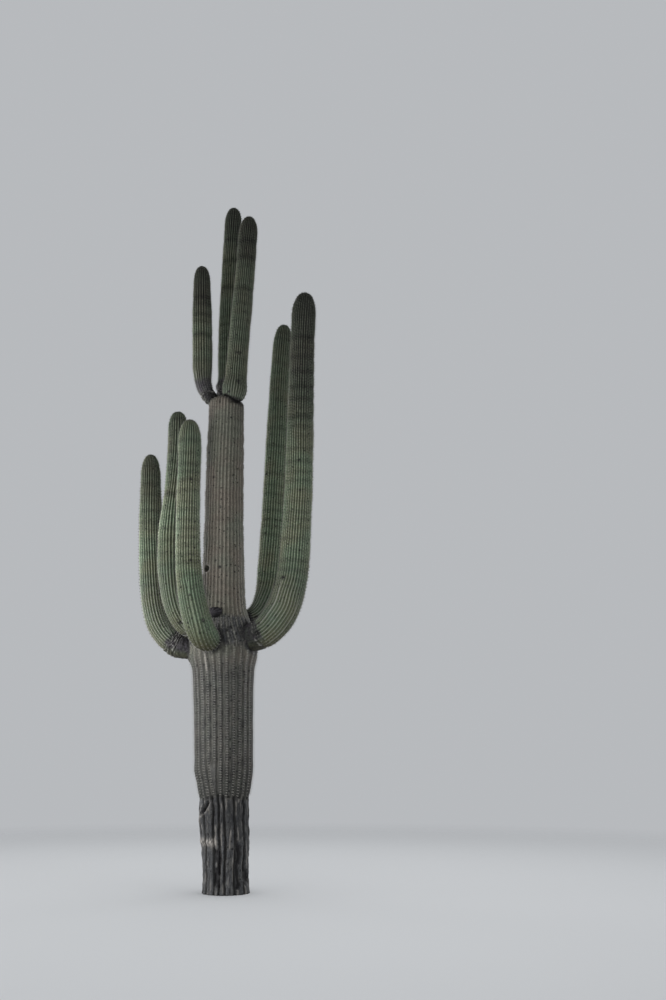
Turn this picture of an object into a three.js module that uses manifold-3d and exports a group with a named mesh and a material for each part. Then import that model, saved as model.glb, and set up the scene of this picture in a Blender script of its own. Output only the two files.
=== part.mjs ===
// Saguaro cactus: a swollen trunk with five arms round its waist and three on its top.
// Millimetres, +Z up. The origin is the middle of the trunk's flat cut at ground level.
// The plant is seen from the front along +Y, with +X to the right.

import * as THREE from "three";
import { mergeVertices } from "three/addons/utils/BufferGeometryUtils.js";
import Module from "manifold-3d";

const wasm = await Module();
wasm.setup();

// Gaps: two tissues that touch, or the two halves of one arm, stay this far apart.
const GAP = 0.3;
const TRUNK_CLEARANCE = 0.4;

// Trunk: its girth is given over the crests of the ribs, with the furrows between them.
const TRUNK = {
  ribs: 26,
  lean: 113,
  leanHeight: 4600,
  shoulder: 5050,
  crown: 5182,
  // height above ground, radius, furrow depth
  girth: [
    [0, 238, 16],
    [140, 228, 18],
    [500, 240, 20],
    [905, 247, 20],
    [1000, 264, 24],
    [1220, 293, 28],
    [1700, 299, 30],
    [2150, 316, 30],
    [2330, 352, 24],
    [2440, 348, 18],
    [2620, 294, 14],
    [2850, 234, 12],
    [3220, 219, 11],
    [3900, 203, 11],
    [4550, 198, 11],
    [5050, 188, 11],
  ],
};

// Facets: rings on the trunk's crown, steps up an arm's upright to its dome, sides of the
// hole, segments round and along the gash, and sides and steps of the dead bud.
const FACETS = { crown: 4, upright: 4, hole: 14, gash: [16, 12], budSides: 16, budSteps: 6 };

// A growing tip is a dome this many tip radii long, rounded by this power.
const DOME = { length: 1.5, power: 2.3 };
const DOME_STEPS = [0.34, 0.64, 0.85, 0.96];

// A limb's bend is a curve whose two handles are this share of its chord, and its elbow
// is fullest this far along it, unless the limb says otherwise.
const BEND = 0.4;
const SWELL = 0.5;

// The fullest part of an upright lies this far up it.
const SHAFT_STATION = 0.45;

// Arms, each grown out of the trunk through a narrow neck and then straight up.
//   azimuth     where its neck stands round the trunk, in degrees from +X
//   heading     the way it grows out, if not straight away from the trunk
//   rise        how steeply its neck climbs, in degrees
//   height      of the neck's root, which lies "reach" from the trunk's middle
//   foot, tip   the end of the bend and the top, with the lean of the tissue there
//   radii       over the crests: at the neck, elbow, foot, shaft and tip
//   swell       how far along the bend the elbow is fullest
//   bendSteps   how many steps the bend takes
//   split       whether the arm is cut in two at its foot
const ARMS = [
  {
    name: "far_left_arm",
    ribs: 22,
    azimuth: 178,
    rise: 0,
    height: 2375,
    reach: 200,
    foot: [-875, 60, 3235],
    footLean: [-0.073, 0],
    tip: [-933, 60, 4505],
    tipLean: [-0.059, 0],
    radii: [91, 118, 122, 120, 104],
    bendSteps: 8,
    split: true,
  },
  {
    name: "middle_left_arm",
    ribs: 22,
    azimuth: 205,
    rise: 0,
    height: 2550,
    reach: 200,
    foot: [-640, -220, 3425],
    footLean: [-0.02, 0],
    tip: [-610, -220, 4900],
    tipLean: [-0.088, 0],
    radii: [97, 111, 128, 98, 107],
    bendSteps: 7,
    split: true,
  },
  {
    name: "front_left_arm",
    ribs: 24,
    azimuth: 245,
    heading: 267,
    rise: -20,
    height: 2515,
    reach: 200,
    foot: [-387, -613, 3155],
    footLean: [-0.079, 0],
    tip: [-423, -613, 4682],
    tipLean: [-0.05, 0],
    handles: [0.67, 0.56],
    radii: [69, 146, 126, 118, 116],
    swell: 0.32,
    bendSteps: 10,
    split: true,
  },
  {
    name: "rear_right_arm",
    ribs: 22,
    azimuth: 36,
    rise: 0,
    height: 2705,
    reach: 200,
    foot: [350, 360, 3120],
    footLean: [0.073, 0],
    tip: [491, 400, 6170],
    tipLean: [0.081, 0],
    radii: [88, 112, 127, 119, 105],
    bendSteps: 6,
    split: true,
  },
  {
    name: "front_right_arm",
    ribs: 24,
    azimuth: -22,
    rise: -10,
    height: 2468,
    reach: 200,
    foot: [653, -250, 3237],
    footLean: [0.075, 0],
    tip: [748, -250, 6268],
    tipLean: [0.054, 0],
    handles: [0.42, 0.42],
    radii: [95, 168, 156, 141, 129],
    bendSteps: 8,
    split: true,
  },
  {
    name: "top_left_arm",
    ribs: 20,
    azimuth: 170,
    rise: 35,
    height: 5097,
    reach: 120,
    foot: [-395, 40, 5532],
    footLean: [-0.028, 0],
    tip: [-436, 40, 6733],
    tipLean: [-0.026, 0],
    radii: [62, 84, 107, 109, 94],
    bendSteps: 5,
    split: true,
  },
  {
    name: "top_rear_arm",
    ribs: 20,
    azimuth: 106,
    heading: 95,
    rise: 80,
    height: 5100,
    reach: 130,
    foot: [-128, 185, 5516],
    footLean: [-0.043, 0.02],
    tip: [-108, 225, 7568],
    tipLean: [0.014, 0.02],
    radii: [80, 100, 106, 99, 98],
    bendSteps: 4,
    split: false,
  },
  {
    name: "top_front_arm",
    ribs: 20,
    azimuth: -39,
    rise: 85,
    height: 5125,
    reach: 100,
    foot: [-8, -70, 5353],
    footLean: [0.047, 0],
    tip: [101, -70, 7294],
    tipLean: [0.036, 0],
    radii: [70, 134, 116, 110, 104],
    bendSteps: 5,
    split: false,
  },
];

// Furrow depth along an arm, at its neck, elbow, foot, shaft and tip.
const ARM_FURROWS = [6, 11, 14, 14, 13];

// A dead bud stands out of the trunk's front, over the front left arm.
const BUD = { azimuth: 255, height: 2742, radius: 58, length: 72, sunk: 45, droop: 8, blunt: 0.6 };

// Damage: a healed gash low on the left, and a woodpecker's hole higher up.
const GASH = { azimuth: 222, height: 806, length: 150, width: 44, depth: 36, slant: 35, inset: 9 };
const HOLE = { azimuth: 222, height: 3204, radius: 24, depth: 70 };

// Skin colours
const COLOURS = {
  trunk: 0x5c5850,
  arm: 0x4f5a45,
  top: 0x474c42,
  bud: 0x3e3942,
};

const UP = new THREE.Vector3(0, 0, 1);

function radians(degrees) {
  return THREE.MathUtils.degToRad(degrees);
}

// A monotone cubic through stations [place, value], level at both of its ends.
function smoothProfile(stations) {
  const places = stations.map((station) => station[0]);
  const values = stations.map((station) => station[1]);
  const last = places.length - 1;
  const slopes = places
    .slice(1)
    .map((place, i) => (values[i + 1] - values[i]) / (place - places[i]));
  const tangents = places.map((_, i) => {
    if (i === 0 || i === last || slopes[i - 1] * slopes[i] <= 0) return 0;
    return (2 * slopes[i - 1] * slopes[i]) / (slopes[i - 1] + slopes[i]);
  });
  return (place) => {
    let i = 0;
    while (i < last - 1 && place > places[i + 1]) i += 1;
    const span = places[i + 1] - places[i];
    const t = THREE.MathUtils.clamp((place - places[i]) / span, 0, 1);
    const rise = t * t * (3 - 2 * t);
    const leaving = t * (1 - t) * (1 - t) * span * tangents[i];
    const arriving = t * t * (t - 1) * span * tangents[i + 1];
    return values[i] + (values[i + 1] - values[i]) * rise + leaving + arriving;
  };
}

// One ring of a ribbed limb: a crest and a furrow by turns, anticlockwise about the tangent.
function ribRing(centre, tangent, side, radius, furrow, ribs) {
  const first = side.clone().addScaledVector(tangent, -side.dot(tangent)).normalize();
  const second = tangent.clone().cross(first);
  const ring = [];
  for (let i = 0; i < 2 * ribs; i += 1) {
    const angle = (Math.PI * i) / ribs;
    const reach = i % 2 ? radius - furrow : radius;
    ring.push(
      centre
        .clone()
        .addScaledVector(first, reach * Math.cos(angle))
        .addScaledVector(second, reach * Math.sin(angle)),
    );
  }
  return ring;
}

// A closed skin through the rings, drawn to a point at each end.
function loft(rings, firstPole, lastPole) {
  const count = rings[0].length;
  const points = [...rings.flat(), firstPole, lastPole];
  const first = points.length - 2;
  const last = points.length - 1;
  const faces = [];
  for (let i = 0; i < rings.length - 1; i += 1) {
    for (let j = 0; j < count; j += 1) {
      const here = i * count + j;
      const next = i * count + ((j + 1) % count);
      faces.push(here, next, next + count, here, next + count, here + count);
    }
  }
  const top = (rings.length - 1) * count;
  for (let j = 0; j < count; j += 1) {
    const next = (j + 1) % count;
    faces.push(first, next, j, last, top + j, top + next);
  }
  const geometry = new THREE.BufferGeometry().setFromPoints(points);
  geometry.setIndex(faces);
  return geometry;
}

function toSolid(geometry) {
  const plain = geometry.clone();
  plain.deleteAttribute("normal");
  plain.deleteAttribute("uv");
  const merged = mergeVertices(plain);
  return new wasm.Manifold(
    new wasm.Mesh({
      numProp: 3,
      vertProperties: new Float32Array(merged.attributes.position.array),
      triVerts: new Uint32Array(merged.index.array),
    }),
  );
}

function toGeometry(solid) {
  const mesh = solid.getMesh();
  const geometry = new THREE.BufferGeometry();
  geometry.setAttribute("position", new THREE.BufferAttribute(mesh.vertProperties, 3));
  geometry.setIndex(new THREE.BufferAttribute(mesh.triVerts, 1));
  return geometry;
}

// Trunk

const trunkRadius = smoothProfile(TRUNK.girth.map(([height, radius]) => [height, radius]));
const trunkFurrow = smoothProfile(TRUNK.girth.map(([height, , furrow]) => [height, furrow]));

function trunkAxis(height) {
  const share = Math.min(height / TRUNK.leanHeight, 1);
  return new THREE.Vector3(-TRUNK.lean * Math.sin((Math.PI / 2) * share), 0, height);
}

// The trunk's skin, grown outwards by a clearance where other tissue is cut back from it.
function trunkSkin(grown) {
  const side = new THREE.Vector3(1, 0, 0);
  const rings = [];
  const addRing = (height, shrink, lift) => {
    const radius = trunkRadius(height) * shrink + grown;
    const furrow = trunkFurrow(height) * shrink;
    rings.push(ribRing(trunkAxis(height + lift), UP, side, radius, furrow, TRUNK.ribs));
  };
  for (const [height] of TRUNK.girth) addRing(height, 1, 0);
  for (let i = 1; i <= FACETS.crown; i += 1) {
    const angle = (Math.PI / 2) * (i / (FACETS.crown + 1));
    const height = TRUNK.shoulder + (TRUNK.crown - TRUNK.shoulder) * Math.sin(angle);
    addRing(height, Math.cos(angle), grown);
  }
  const ground = trunkAxis(0);
  const crown = trunkAxis(TRUNK.crown + grown);
  return loft(rings, ground, crown);
}

// A point on the trunk's skin, and the level way out of it.
function onTrunk(azimuth, height) {
  const out = new THREE.Vector3(Math.cos(radians(azimuth)), Math.sin(radians(azimuth)), 0);
  const point = trunkAxis(height).addScaledVector(out, trunkRadius(height));
  return { out, point };
}

// A lens-shaped bite, longer than wide, whose upper end slants to the right.
function gashCutter() {
  const { out, point } = onTrunk(GASH.azimuth, GASH.height);
  const bite = new THREE.SphereGeometry(1, ...FACETS.gash);
  bite.scale(GASH.depth, GASH.width / 2, GASH.length / 2);
  bite.rotateX(-radians(GASH.slant));
  bite.rotateZ(radians(GASH.azimuth));
  bite.translate(...point.addScaledVector(out, -GASH.inset).toArray());
  return toSolid(bite);
}

function holeCutter() {
  const { out, point } = onTrunk(HOLE.azimuth, HOLE.height);
  const bore = new THREE.CylinderGeometry(HOLE.radius, HOLE.radius, 2 * HOLE.depth, FACETS.hole);
  bore.rotateZ(Math.PI / 2);
  bore.rotateZ(radians(HOLE.azimuth));
  bore.translate(...point.toArray());
  return toSolid(bore);
}

const trunkSolid = toSolid(trunkSkin(0)).subtract(gashCutter()).subtract(holeCutter());
const trunkGrown = toSolid(trunkSkin(TRUNK_CLEARANCE));

// Arms

// An arm's two curves, its radius and furrow by distance, and the side its ribs start from.
function armShape(arm) {
  const azimuth = radians(arm.azimuth);
  const heading = radians(arm.heading ?? arm.azimuth);
  const rise = radians(arm.rise);
  const root = trunkAxis(arm.height).add(
    new THREE.Vector3(Math.cos(azimuth), Math.sin(azimuth), 0).multiplyScalar(arm.reach),
  );
  const out = new THREE.Vector3(
    Math.cos(heading) * Math.cos(rise),
    Math.sin(heading) * Math.cos(rise),
    Math.sin(rise),
  );
  const foot = new THREE.Vector3(...arm.foot);
  const tip = new THREE.Vector3(...arm.tip);
  const footUp = new THREE.Vector3(...arm.footLean, 1).normalize();
  const tipUp = new THREE.Vector3(...arm.tipLean, 1).normalize();
  const [outHandle, upHandle] = arm.handles ?? [BEND, BEND];
  const chord = root.distanceTo(foot);
  const bend = new THREE.CubicBezierCurve3(
    root,
    root.clone().addScaledVector(out, chord * outHandle),
    foot.clone().addScaledVector(footUp, -chord * upHandle),
    foot,
  );
  const third = foot.distanceTo(tip) / 3;
  const shaft = new THREE.CubicBezierCurve3(
    foot,
    foot.clone().addScaledVector(footUp, third),
    tip.clone().addScaledVector(tipUp, -third),
    tip,
  );
  const bendLength = bend.getLength();
  const shaftLength = shaft.getLength();
  const dome = DOME.length * arm.radii.at(-1);
  const places = [
    0,
    (arm.swell ?? SWELL) * bendLength,
    bendLength,
    bendLength + SHAFT_STATION * shaftLength,
    bendLength + shaftLength - dome,
  ];
  return {
    bend,
    shaft,
    bendLength,
    shaftLength,
    dome,
    side: new THREE.Vector3(-Math.sin(heading), Math.cos(heading), 0),
    radius: smoothProfile(places.map((place, i) => [place, arm.radii[i]])),
    furrow: smoothProfile(places.map((place, i) => [place, ARM_FURROWS[i]])),
  };
}

function bendRings(arm, shape) {
  const rings = [];
  for (let i = 0; i <= arm.bendSteps; i += 1) {
    const share = i / arm.bendSteps;
    const place = share * shape.bendLength;
    const centre = shape.bend.getPointAt(share);
    const tangent = shape.bend.getTangentAt(share);
    if (arm.split && i === arm.bendSteps) centre.addScaledVector(tangent, -GAP / 2);
    rings.push(
      ribRing(centre, tangent, shape.side, shape.radius(place), shape.furrow(place), arm.ribs),
    );
  }
  return rings;
}

function shaftRings(arm, shape) {
  const straight = 1 - shape.dome / shape.shaftLength;
  const shares = [];
  for (let i = 0; i <= FACETS.upright; i += 1) {
    shares.push((straight * i) / FACETS.upright);
  }
  for (const step of DOME_STEPS) shares.push(straight + (1 - straight) * step);
  return shares.map((share, i) => {
    const place = shape.bendLength + share * shape.shaftLength;
    const round = THREE.MathUtils.clamp((share - straight) / (1 - straight), 0, 1);
    const shrink = Math.sqrt(1 - round ** DOME.power);
    const centre = shape.shaft.getPointAt(share);
    const tangent = shape.shaft.getTangentAt(share);
    if (arm.split && i === 0) centre.addScaledVector(tangent, GAP / 2);
    const radius = shape.radius(place) * shrink;
    const furrow = shape.furrow(place) * shrink;
    return ribRing(centre, tangent, shape.side, radius, furrow, arm.ribs);
  });
}

function ringMiddle(ring) {
  const middle = new THREE.Vector3();
  for (const point of ring) middle.add(point);
  return middle.divideScalar(ring.length);
}

// A skin whose lower end is flat, and whose upper end is flat or comes to the given tip.
function limbSkin(rings, tip) {
  return loft(rings, ringMiddle(rings[0]), tip ?? ringMiddle(rings.at(-1)));
}

function cutByTrunk(skin) {
  return toGeometry(toSolid(skin).subtract(trunkGrown));
}

// Dead bud: a blunt knob that droops a little

function budSkin() {
  const { out, point } = onTrunk(BUD.azimuth, BUD.height);
  const outline = [new THREE.Vector2(0, -BUD.sunk), new THREE.Vector2(BUD.radius, -BUD.sunk)];
  for (let i = 1; i < FACETS.budSteps; i += 1) {
    const angle = (Math.PI / 2) * (i / FACETS.budSteps);
    const reach = BUD.radius * Math.cos(angle) ** BUD.blunt;
    outline.push(new THREE.Vector2(reach, BUD.length * Math.sin(angle)));
  }
  outline.push(new THREE.Vector2(0, BUD.length));
  const knob = new THREE.LatheGeometry(outline, FACETS.budSides);
  knob.rotateZ(-Math.PI / 2 - radians(BUD.droop));
  knob.rotateX(Math.PI / 2);
  knob.rotateZ(Math.atan2(out.y, out.x));
  knob.translate(...point.toArray());
  return knob;
}

// The whole plant

const plant = new THREE.Group();

function addNode(name, geometry, colour) {
  const skin = new THREE.MeshStandardMaterial({ color: colour, roughness: 0.85, metalness: 0 });
  const node = new THREE.Mesh(geometry, skin);
  node.name = name;
  plant.add(node);
}

addNode("trunk", toGeometry(trunkSolid), COLOURS.trunk);

for (const arm of ARMS) {
  const shape = armShape(arm);
  const elbow = bendRings(arm, shape);
  const upright = shaftRings(arm, shape);
  const tip = shape.shaft.getPoint(1);
  if (arm.split) {
    addNode(`${arm.name}_elbow`, cutByTrunk(limbSkin(elbow)), COLOURS.arm);
    addNode(`${arm.name}_upright`, limbSkin(upright, tip), COLOURS.arm);
  } else {
    addNode(arm.name, cutByTrunk(limbSkin([...elbow, ...upright.slice(1)], tip)), COLOURS.top);
  }
}

addNode("dead_bud", cutByTrunk(budSkin()), COLOURS.bud);

export default plant;
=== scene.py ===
# %% [markdown]
# # A saguaro cactus
# A saguaro is a pleated column of water-filled flesh in a waxy skin. This one has a swollen trunk, five arms
# round its waist and three more on its top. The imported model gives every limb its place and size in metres:
# +Z is up, the origin is the middle of the trunk at ground level, and the viewer looks along +Y. It could be
# shown as it is, but its ribs are flat facets. So each limb is made again here as one fine skin on nearly
# the same curves and girths, and takes the place of the solids that it grows round.

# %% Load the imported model
import math
from functools import partial
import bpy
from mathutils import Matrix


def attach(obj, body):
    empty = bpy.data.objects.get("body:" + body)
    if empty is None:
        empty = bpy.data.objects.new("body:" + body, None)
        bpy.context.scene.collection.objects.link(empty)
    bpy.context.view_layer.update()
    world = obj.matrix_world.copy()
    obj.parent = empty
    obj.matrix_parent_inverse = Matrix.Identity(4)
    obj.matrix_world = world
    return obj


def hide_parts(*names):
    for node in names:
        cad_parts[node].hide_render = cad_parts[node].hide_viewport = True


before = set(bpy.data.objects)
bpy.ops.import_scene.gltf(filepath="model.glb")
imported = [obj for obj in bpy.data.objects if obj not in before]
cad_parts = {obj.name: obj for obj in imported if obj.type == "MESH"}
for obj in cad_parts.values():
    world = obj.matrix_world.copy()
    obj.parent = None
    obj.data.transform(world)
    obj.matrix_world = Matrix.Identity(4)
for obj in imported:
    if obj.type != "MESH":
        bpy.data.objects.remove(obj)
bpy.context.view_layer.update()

from types import SimpleNamespace

import bpy
import numpy as np
from mathutils import noise

SCENE = bpy.context.scene

# %% [markdown]
# ## The camera
# The photograph was taken standing, from about eleven metres away, with the camera tilted up so that the
# top arms are in the picture. A camera could be aimed with a constraint, but a plain place, tilt and lens
# say the same thing in three numbers that a reader can check.

# %% Camera
EYE = (1.0566, -11.0, 1.25)
TILT_UP = 13.94
LENS_MM = 38.0
FAR_CLIP = 500


def new_object(name, data):
    """An object in the scene that holds this camera, lamp or mesh."""
    thing = bpy.data.objects.new(name, data)
    SCENE.collection.objects.link(thing)
    return thing


SCENE.camera = new_object("camera", bpy.data.cameras.new("camera"))
SCENE.camera.data.lens = LENS_MM
SCENE.camera.data.clip_end = FAR_CLIP
SCENE.camera.location = EYE
SCENE.camera.rotation_euler = (math.radians(90 + TILT_UP), 0, 0)
print("camera at", EYE, "tilted up", TILT_UP, "degrees")

# %% [markdown]
# ## Small helpers for colour, nodes and materials
# A painter picks colours as they look on a screen, and a shader wants them as amounts of light, so one
# function turns an sRGB hex code into linear light. A second one adds a node with its settings and links,
# which keeps the recipes below short enough to read.


# %% Colours, nodes and materials
def colour(code):
    """An sRGB hex code as linear light."""
    shown = [int(code[i : i + 2], 16) / 255 for i in (1, 3, 5)]
    light = [c / 12.92 if c <= 0.04045 else ((c + 0.055) / 1.055) ** 2.4 for c in shown]
    return (*light, 1.0)


def feed(node, links):
    """Links sources to a node's inputs."""
    for name, source in links.items():
        node.id_data.links.new(source, node.inputs[name])


def add_node(tree, kind, settings=None, links=None, output=0):
    """Adds a node, and gives one of its outputs if it has any. A setting is a property or an input's
    value, and a link feeds an input.
    """
    node = tree.nodes.new(kind)
    for name, value in (settings or {}).items():
        if isinstance(name, str) and name in node.bl_rna.properties:
            setattr(node, name, value)
        else:
            node.inputs[name].default_value = value
    feed(node, links or {})
    return node.outputs[output] if node.outputs else None


def new_material(name, values):
    """A material, its shader with these values, and a way to add nodes to it."""
    material = bpy.data.materials.new(name)
    material.use_nodes = True
    shader = material.node_tree.nodes["Principled BSDF"]
    for key, value in values.items():
        shader.inputs[key].default_value = value
    return material, shader, partial(add_node, material.node_tree)


# %% [markdown]
# ## Floor and light
# The plant stands on a plain pale floor that fades out at a distance, so that no horizon crosses the
# picture. The plant's light is soft and comes from panels round its waist, as from a low evening sky: one
# on the left, two in front, and two behind that catch the edges. They stand two to four metres up, so their
# light weakens towards the tips, and an even surround fills the shadows. One high lamp would be simpler, but
# it would light the tips more than the foot, and the photograph shows the reverse. The panels would also
# leave bright pools on the floor, so the floor has a broad overhead light of its own instead.

# %% Floor and light
FLOOR_SIZE = 400
FLOOR_TONE = "#d6d8da"
FLOOR_FADE = (5.0, 13.0)
LIGHT_TARGET_HEIGHT = 1.9
PANELS = {
    # name: place, width and height, watts
    "key_panel": ((-5.2, -2.6, 2.5), (2.2, 2.4), 332),
    "front_panel": ((-2.0, -6.4, 2.8), (2.4, 2.2), 170),
    "fill_panel": ((4.4, -4.8, 2.2), (2.4, 2.2), 62),
    "rim_panel": ((-5.2, 3.6, 4.0), (2.0, 2.6), 540),
    "back_panel": ((4.6, 3.4, 3.4), (2.0, 2.6), 180),
}
OVERHEAD = ((0, 0, 9.0), (16.0, 16.0), 950)
SURROUND = "#e3e6ea"
BACKDROP_STRENGTH = 0.62
SURROUND_STRENGTH = 0.40


def plain_floor():
    """A wide matt floor that fades out away from the plant."""
    half = FLOOR_SIZE / 2
    corners = [(-half, -half, 0), (half, -half, 0), (half, half, 0), (-half, half, 0)]
    mesh = bpy.data.meshes.new("floor")
    mesh.from_pydata(corners, [], [(0, 1, 2, 3)])
    paint, shader, add = new_material("pale_floor", {"Base Color": colour(FLOOR_TONE), "Roughness": 0.9})
    place = add("ShaderNodeTexCoord", output="Object")
    away = add("ShaderNodeVectorMath", {"operation": "LENGTH"}, {0: place}, "Value")
    near, far = FLOOR_FADE
    shown = add(
        "ShaderNodeMapRange",
        {"interpolation_type": "SMOOTHSTEP", "From Min": near, "From Max": far, "To Min": 1.0, "To Max": 0.0},
        {"Value": away},
    )
    feed(shader, {"Alpha": shown})
    mesh.materials.append(paint)
    return new_object("floor", mesh)


def light_panel(name, place, size, watts, floor_light):
    """A soft panel that faces the plant. It lights all but the floor (EXCLUDE), or it alone (INCLUDE)."""
    panel = bpy.data.lights.new(name, "AREA")
    panel.shape = "RECTANGLE"
    panel.size, panel.size_y = size
    panel.energy = watts
    lamp = new_object(name, panel)
    lamp.location = place
    away = np.array(place, float) - (0, 0, LIGHT_TARGET_HEIGHT)
    level = math.hypot(away[0], away[1])
    lamp.rotation_euler = (math.atan2(level, away[2]), 0, math.atan2(away[1], away[0]) + math.pi / 2)
    lamp.visible_camera = False
    lit = bpy.data.collections.new(f"{name}_lit")
    lit.objects.link(floor)
    lit.collection_objects[0].light_linking.link_state = floor_light
    lamp.light_linking.receiver_collection = lit


def pale_surround():
    """An even sky: pale where the camera sees it, and dimmer as a light."""
    world = bpy.data.worlds.new("surround")
    world.use_nodes = True
    sky = world.node_tree.nodes["Background"]
    sky.inputs["Color"].default_value = colour(SURROUND)
    seen = add_node(world.node_tree, "ShaderNodeLightPath", output="Is Camera Ray")
    brighter = BACKDROP_STRENGTH - SURROUND_STRENGTH
    settings = {"operation": "MULTIPLY_ADD", 1: brighter, 2: SURROUND_STRENGTH}
    feed(sky, {"Strength": add_node(world.node_tree, "ShaderNodeMath", settings, {0: seen})})
    SCENE.world = world


floor = plain_floor()
for name, panel in PANELS.items():
    light_panel(name, *panel, "EXCLUDE")
light_panel("overhead_panel", *OVERHEAD, "INCLUDE")
pale_surround()
SCENE.view_settings.view_transform = "Standard"
print("light panels:", list(PANELS))

# %% [markdown]
# ## Sizes that grow smoothly
# A limb's girth is known at a few stations. Straight lines between them would show as kinks, and an
# ordinary smooth curve swings past its stations. A monotone cubic does neither: between two stations it
# never leaves their range, so a neck stays as thin as it was measured. Marks on the skin fade in and out in
# a few ways only, so each way has a short function here.


# %% Profiles, fades and noise
def smooth_profile(stations):
    """A curve through stations (place, value) that is level at its ends and never overshoots."""
    places, values = np.array(stations, float).T
    slopes = np.diff(values) / np.diff(places)
    tangents = np.zeros(len(places))
    for i in range(1, len(places) - 1):
        if slopes[i - 1] * slopes[i] > 0:
            tangents[i] = 2 * slopes[i - 1] * slopes[i] / (slopes[i - 1] + slopes[i])

    def value_at(place):
        place = np.clip(place, places[0], places[-1])
        i = np.clip(np.searchsorted(places, place, side="right") - 1, 0, len(places) - 2)
        span = places[i + 1] - places[i]
        t = (place - places[i]) / span
        leaving = t * (1 - t) ** 2 * span * tangents[i]
        arriving = t * t * (t - 1) * span * tangents[i + 1]
        return values[i] + (values[i + 1] - values[i]) * t * t * (3 - 2 * t) + leaving + arriving

    return value_at


def share(value):
    """A value kept between 0 and 1."""
    return np.clip(value, 0, 1)


def ramp(value, start, end):
    """0 before start, 1 after end, and a smooth rise between them."""
    t = share((value - start) / (end - start))
    return t * t * (3 - 2 * t)


def band(value, start, full, fading, end):
    """0 before start, 1 from full to fading, and 0 after end."""
    return ramp(value, start, full) * (1 - ramp(value, fading, end))


def bell(offset, width, power=2):
    """1 in the middle, and nearly 0 two widths away. A higher power has a flatter top."""
    return np.exp(-((offset / width) ** power))


def rounded(value):
    """A rise from 0 to 1 that starts fast, like the side of a dome."""
    return np.sin(np.pi / 2 * share(value))


def lumps(points, size, seed):
    """Smooth noise from about -1 to 1, whose lumps are of this size: one number, or one for each axis."""
    moved = points.reshape(-1, 3) / size + seed
    return np.array([noise.noise(place) for place in moved.tolist()]).reshape(points.shape[:-1])


# %% [markdown]
# ## Ribs
# The skin of a saguaro is pleated like a bellows, so that it can swell with rain. A pleat could be painted
# or embossed, but it is a centimetre or more deep and makes the outline, so it is real geometry. Every ring
# of points has a fixed number of columns for each rib, which follow the rib up the limb. The mesh then
# always has a row of points exactly on each crest and in each furrow. Where a limb gets thicker, some ribs
# fork in two: a furrow that is closed lower down opens, and the two crests move apart.

# %% Ribs
RIB_BLUNT = 1.15


def rib_columns(spread, open_furrow, across):
    """The angle of every column of every ring, how far down its furrow it lies, from 0 to 1, and how far
    round it is from the nearest crest.

    spread and open_furrow have a number for each ring and rib: the rib's share of the width, and how
    far the furrow beside it is open. across says where a rib's columns lie, from crest to crest.
    """
    widths = spread * (2 * np.pi / spread.sum(axis=1, keepdims=True))
    crests = np.cumsum(widths, axis=1) - widths
    angles = crests[..., None] + widths[..., None] * across
    from_crest = np.minimum(across, 1 - across)
    valley = open_furrow[..., None] * (2 * from_crest) ** RIB_BLUNT
    aside = widths[..., None] * from_crest
    return [part.reshape(len(spread), -1) for part in (angles, valley, aside)]


def closed_skin(name, rings, first_pole, last_pole, marks):
    """A closed smooth mesh through the rings, drawn to a point at each end. Marks are kept on its points."""
    rows, columns = rings.shape[:2]
    points = np.concatenate([rings.reshape(-1, 3), [first_pole, last_pole]])
    here = np.arange(rows * columns).reshape(rows, columns)
    beside = np.roll(here, -1, axis=1)
    first = np.full(columns, rows * columns)
    sides = np.stack([here[:-1], beside[:-1], beside[1:], here[1:]], axis=-1).reshape(-1, 4)
    bottom = np.stack([first, beside[0], here[0]], axis=-1)
    top = np.stack([here[-1], beside[-1], first + 1], axis=-1)
    mesh = bpy.data.meshes.new(name)
    mesh.from_pydata(points.tolist(), [], [*sides.tolist(), *bottom.tolist(), *top.tolist()])
    mesh.shade_smooth()
    for mark, values in marks.items():
        ends = [values[0].mean(), values[-1].mean()]
        layer = mesh.attributes.new(mark, "FLOAT", "POINT")
        layer.data.foreach_set("value", np.append(values, ends).astype(np.float32))
    return new_object(name, mesh)


def triangles(piece):
    return sum(len(face.vertices) - 2 for face in piece.data.polygons)


# %% [markdown]
# ## Where the limbs run
# The trunk leans a little as it rises. Each arm leaves it through a narrow neck, swells at its elbow and
# turns upwards. A limb could be a bent cylinder, but its neck has to meet the trunk and its shaft has to
# lean as the real one does, so it follows two Bezier curves: one for the bend and one for the shaft. The
# sizes are in metres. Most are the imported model's own, and a few necks and elbows were fitted more closely.

# %% The trunk's sizes
TRUNK_LEAN = 0.113
LEAN_HEIGHT = 4.6
SHOULDER = 5.05
CROWN = 5.182
# height above ground, radius over the crests, furrow depth
TRUNK_GIRTH = [
    (0.000, 0.238, 0.016),
    (0.140, 0.228, 0.018),
    (0.500, 0.240, 0.020),
    (0.905, 0.247, 0.020),
    (1.000, 0.264, 0.024),
    (1.220, 0.293, 0.028),
    (1.700, 0.299, 0.030),
    (2.150, 0.316, 0.030),
    (2.330, 0.352, 0.024),
    (2.440, 0.348, 0.018),
    (2.620, 0.294, 0.014),
    (2.850, 0.234, 0.012),
    (3.220, 0.219, 0.011),
    (3.900, 0.203, 0.011),
    (4.550, 0.198, 0.011),
    (5.050, 0.188, 0.011),
]
trunk_radius = smooth_profile([(height, radius) for height, radius, _ in TRUNK_GIRTH])
trunk_furrow = smooth_profile([(height, furrow) for height, _, furrow in TRUNK_GIRTH])


def trunk_axis(height):
    """The middle of the trunk at each height."""
    height = np.asarray(height, float)
    lean = -TRUNK_LEAN * np.sin(np.pi / 2 * np.minimum(height / LEAN_HEIGHT, 1))
    return np.stack([lean, np.zeros_like(height), height], axis=-1)


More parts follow.
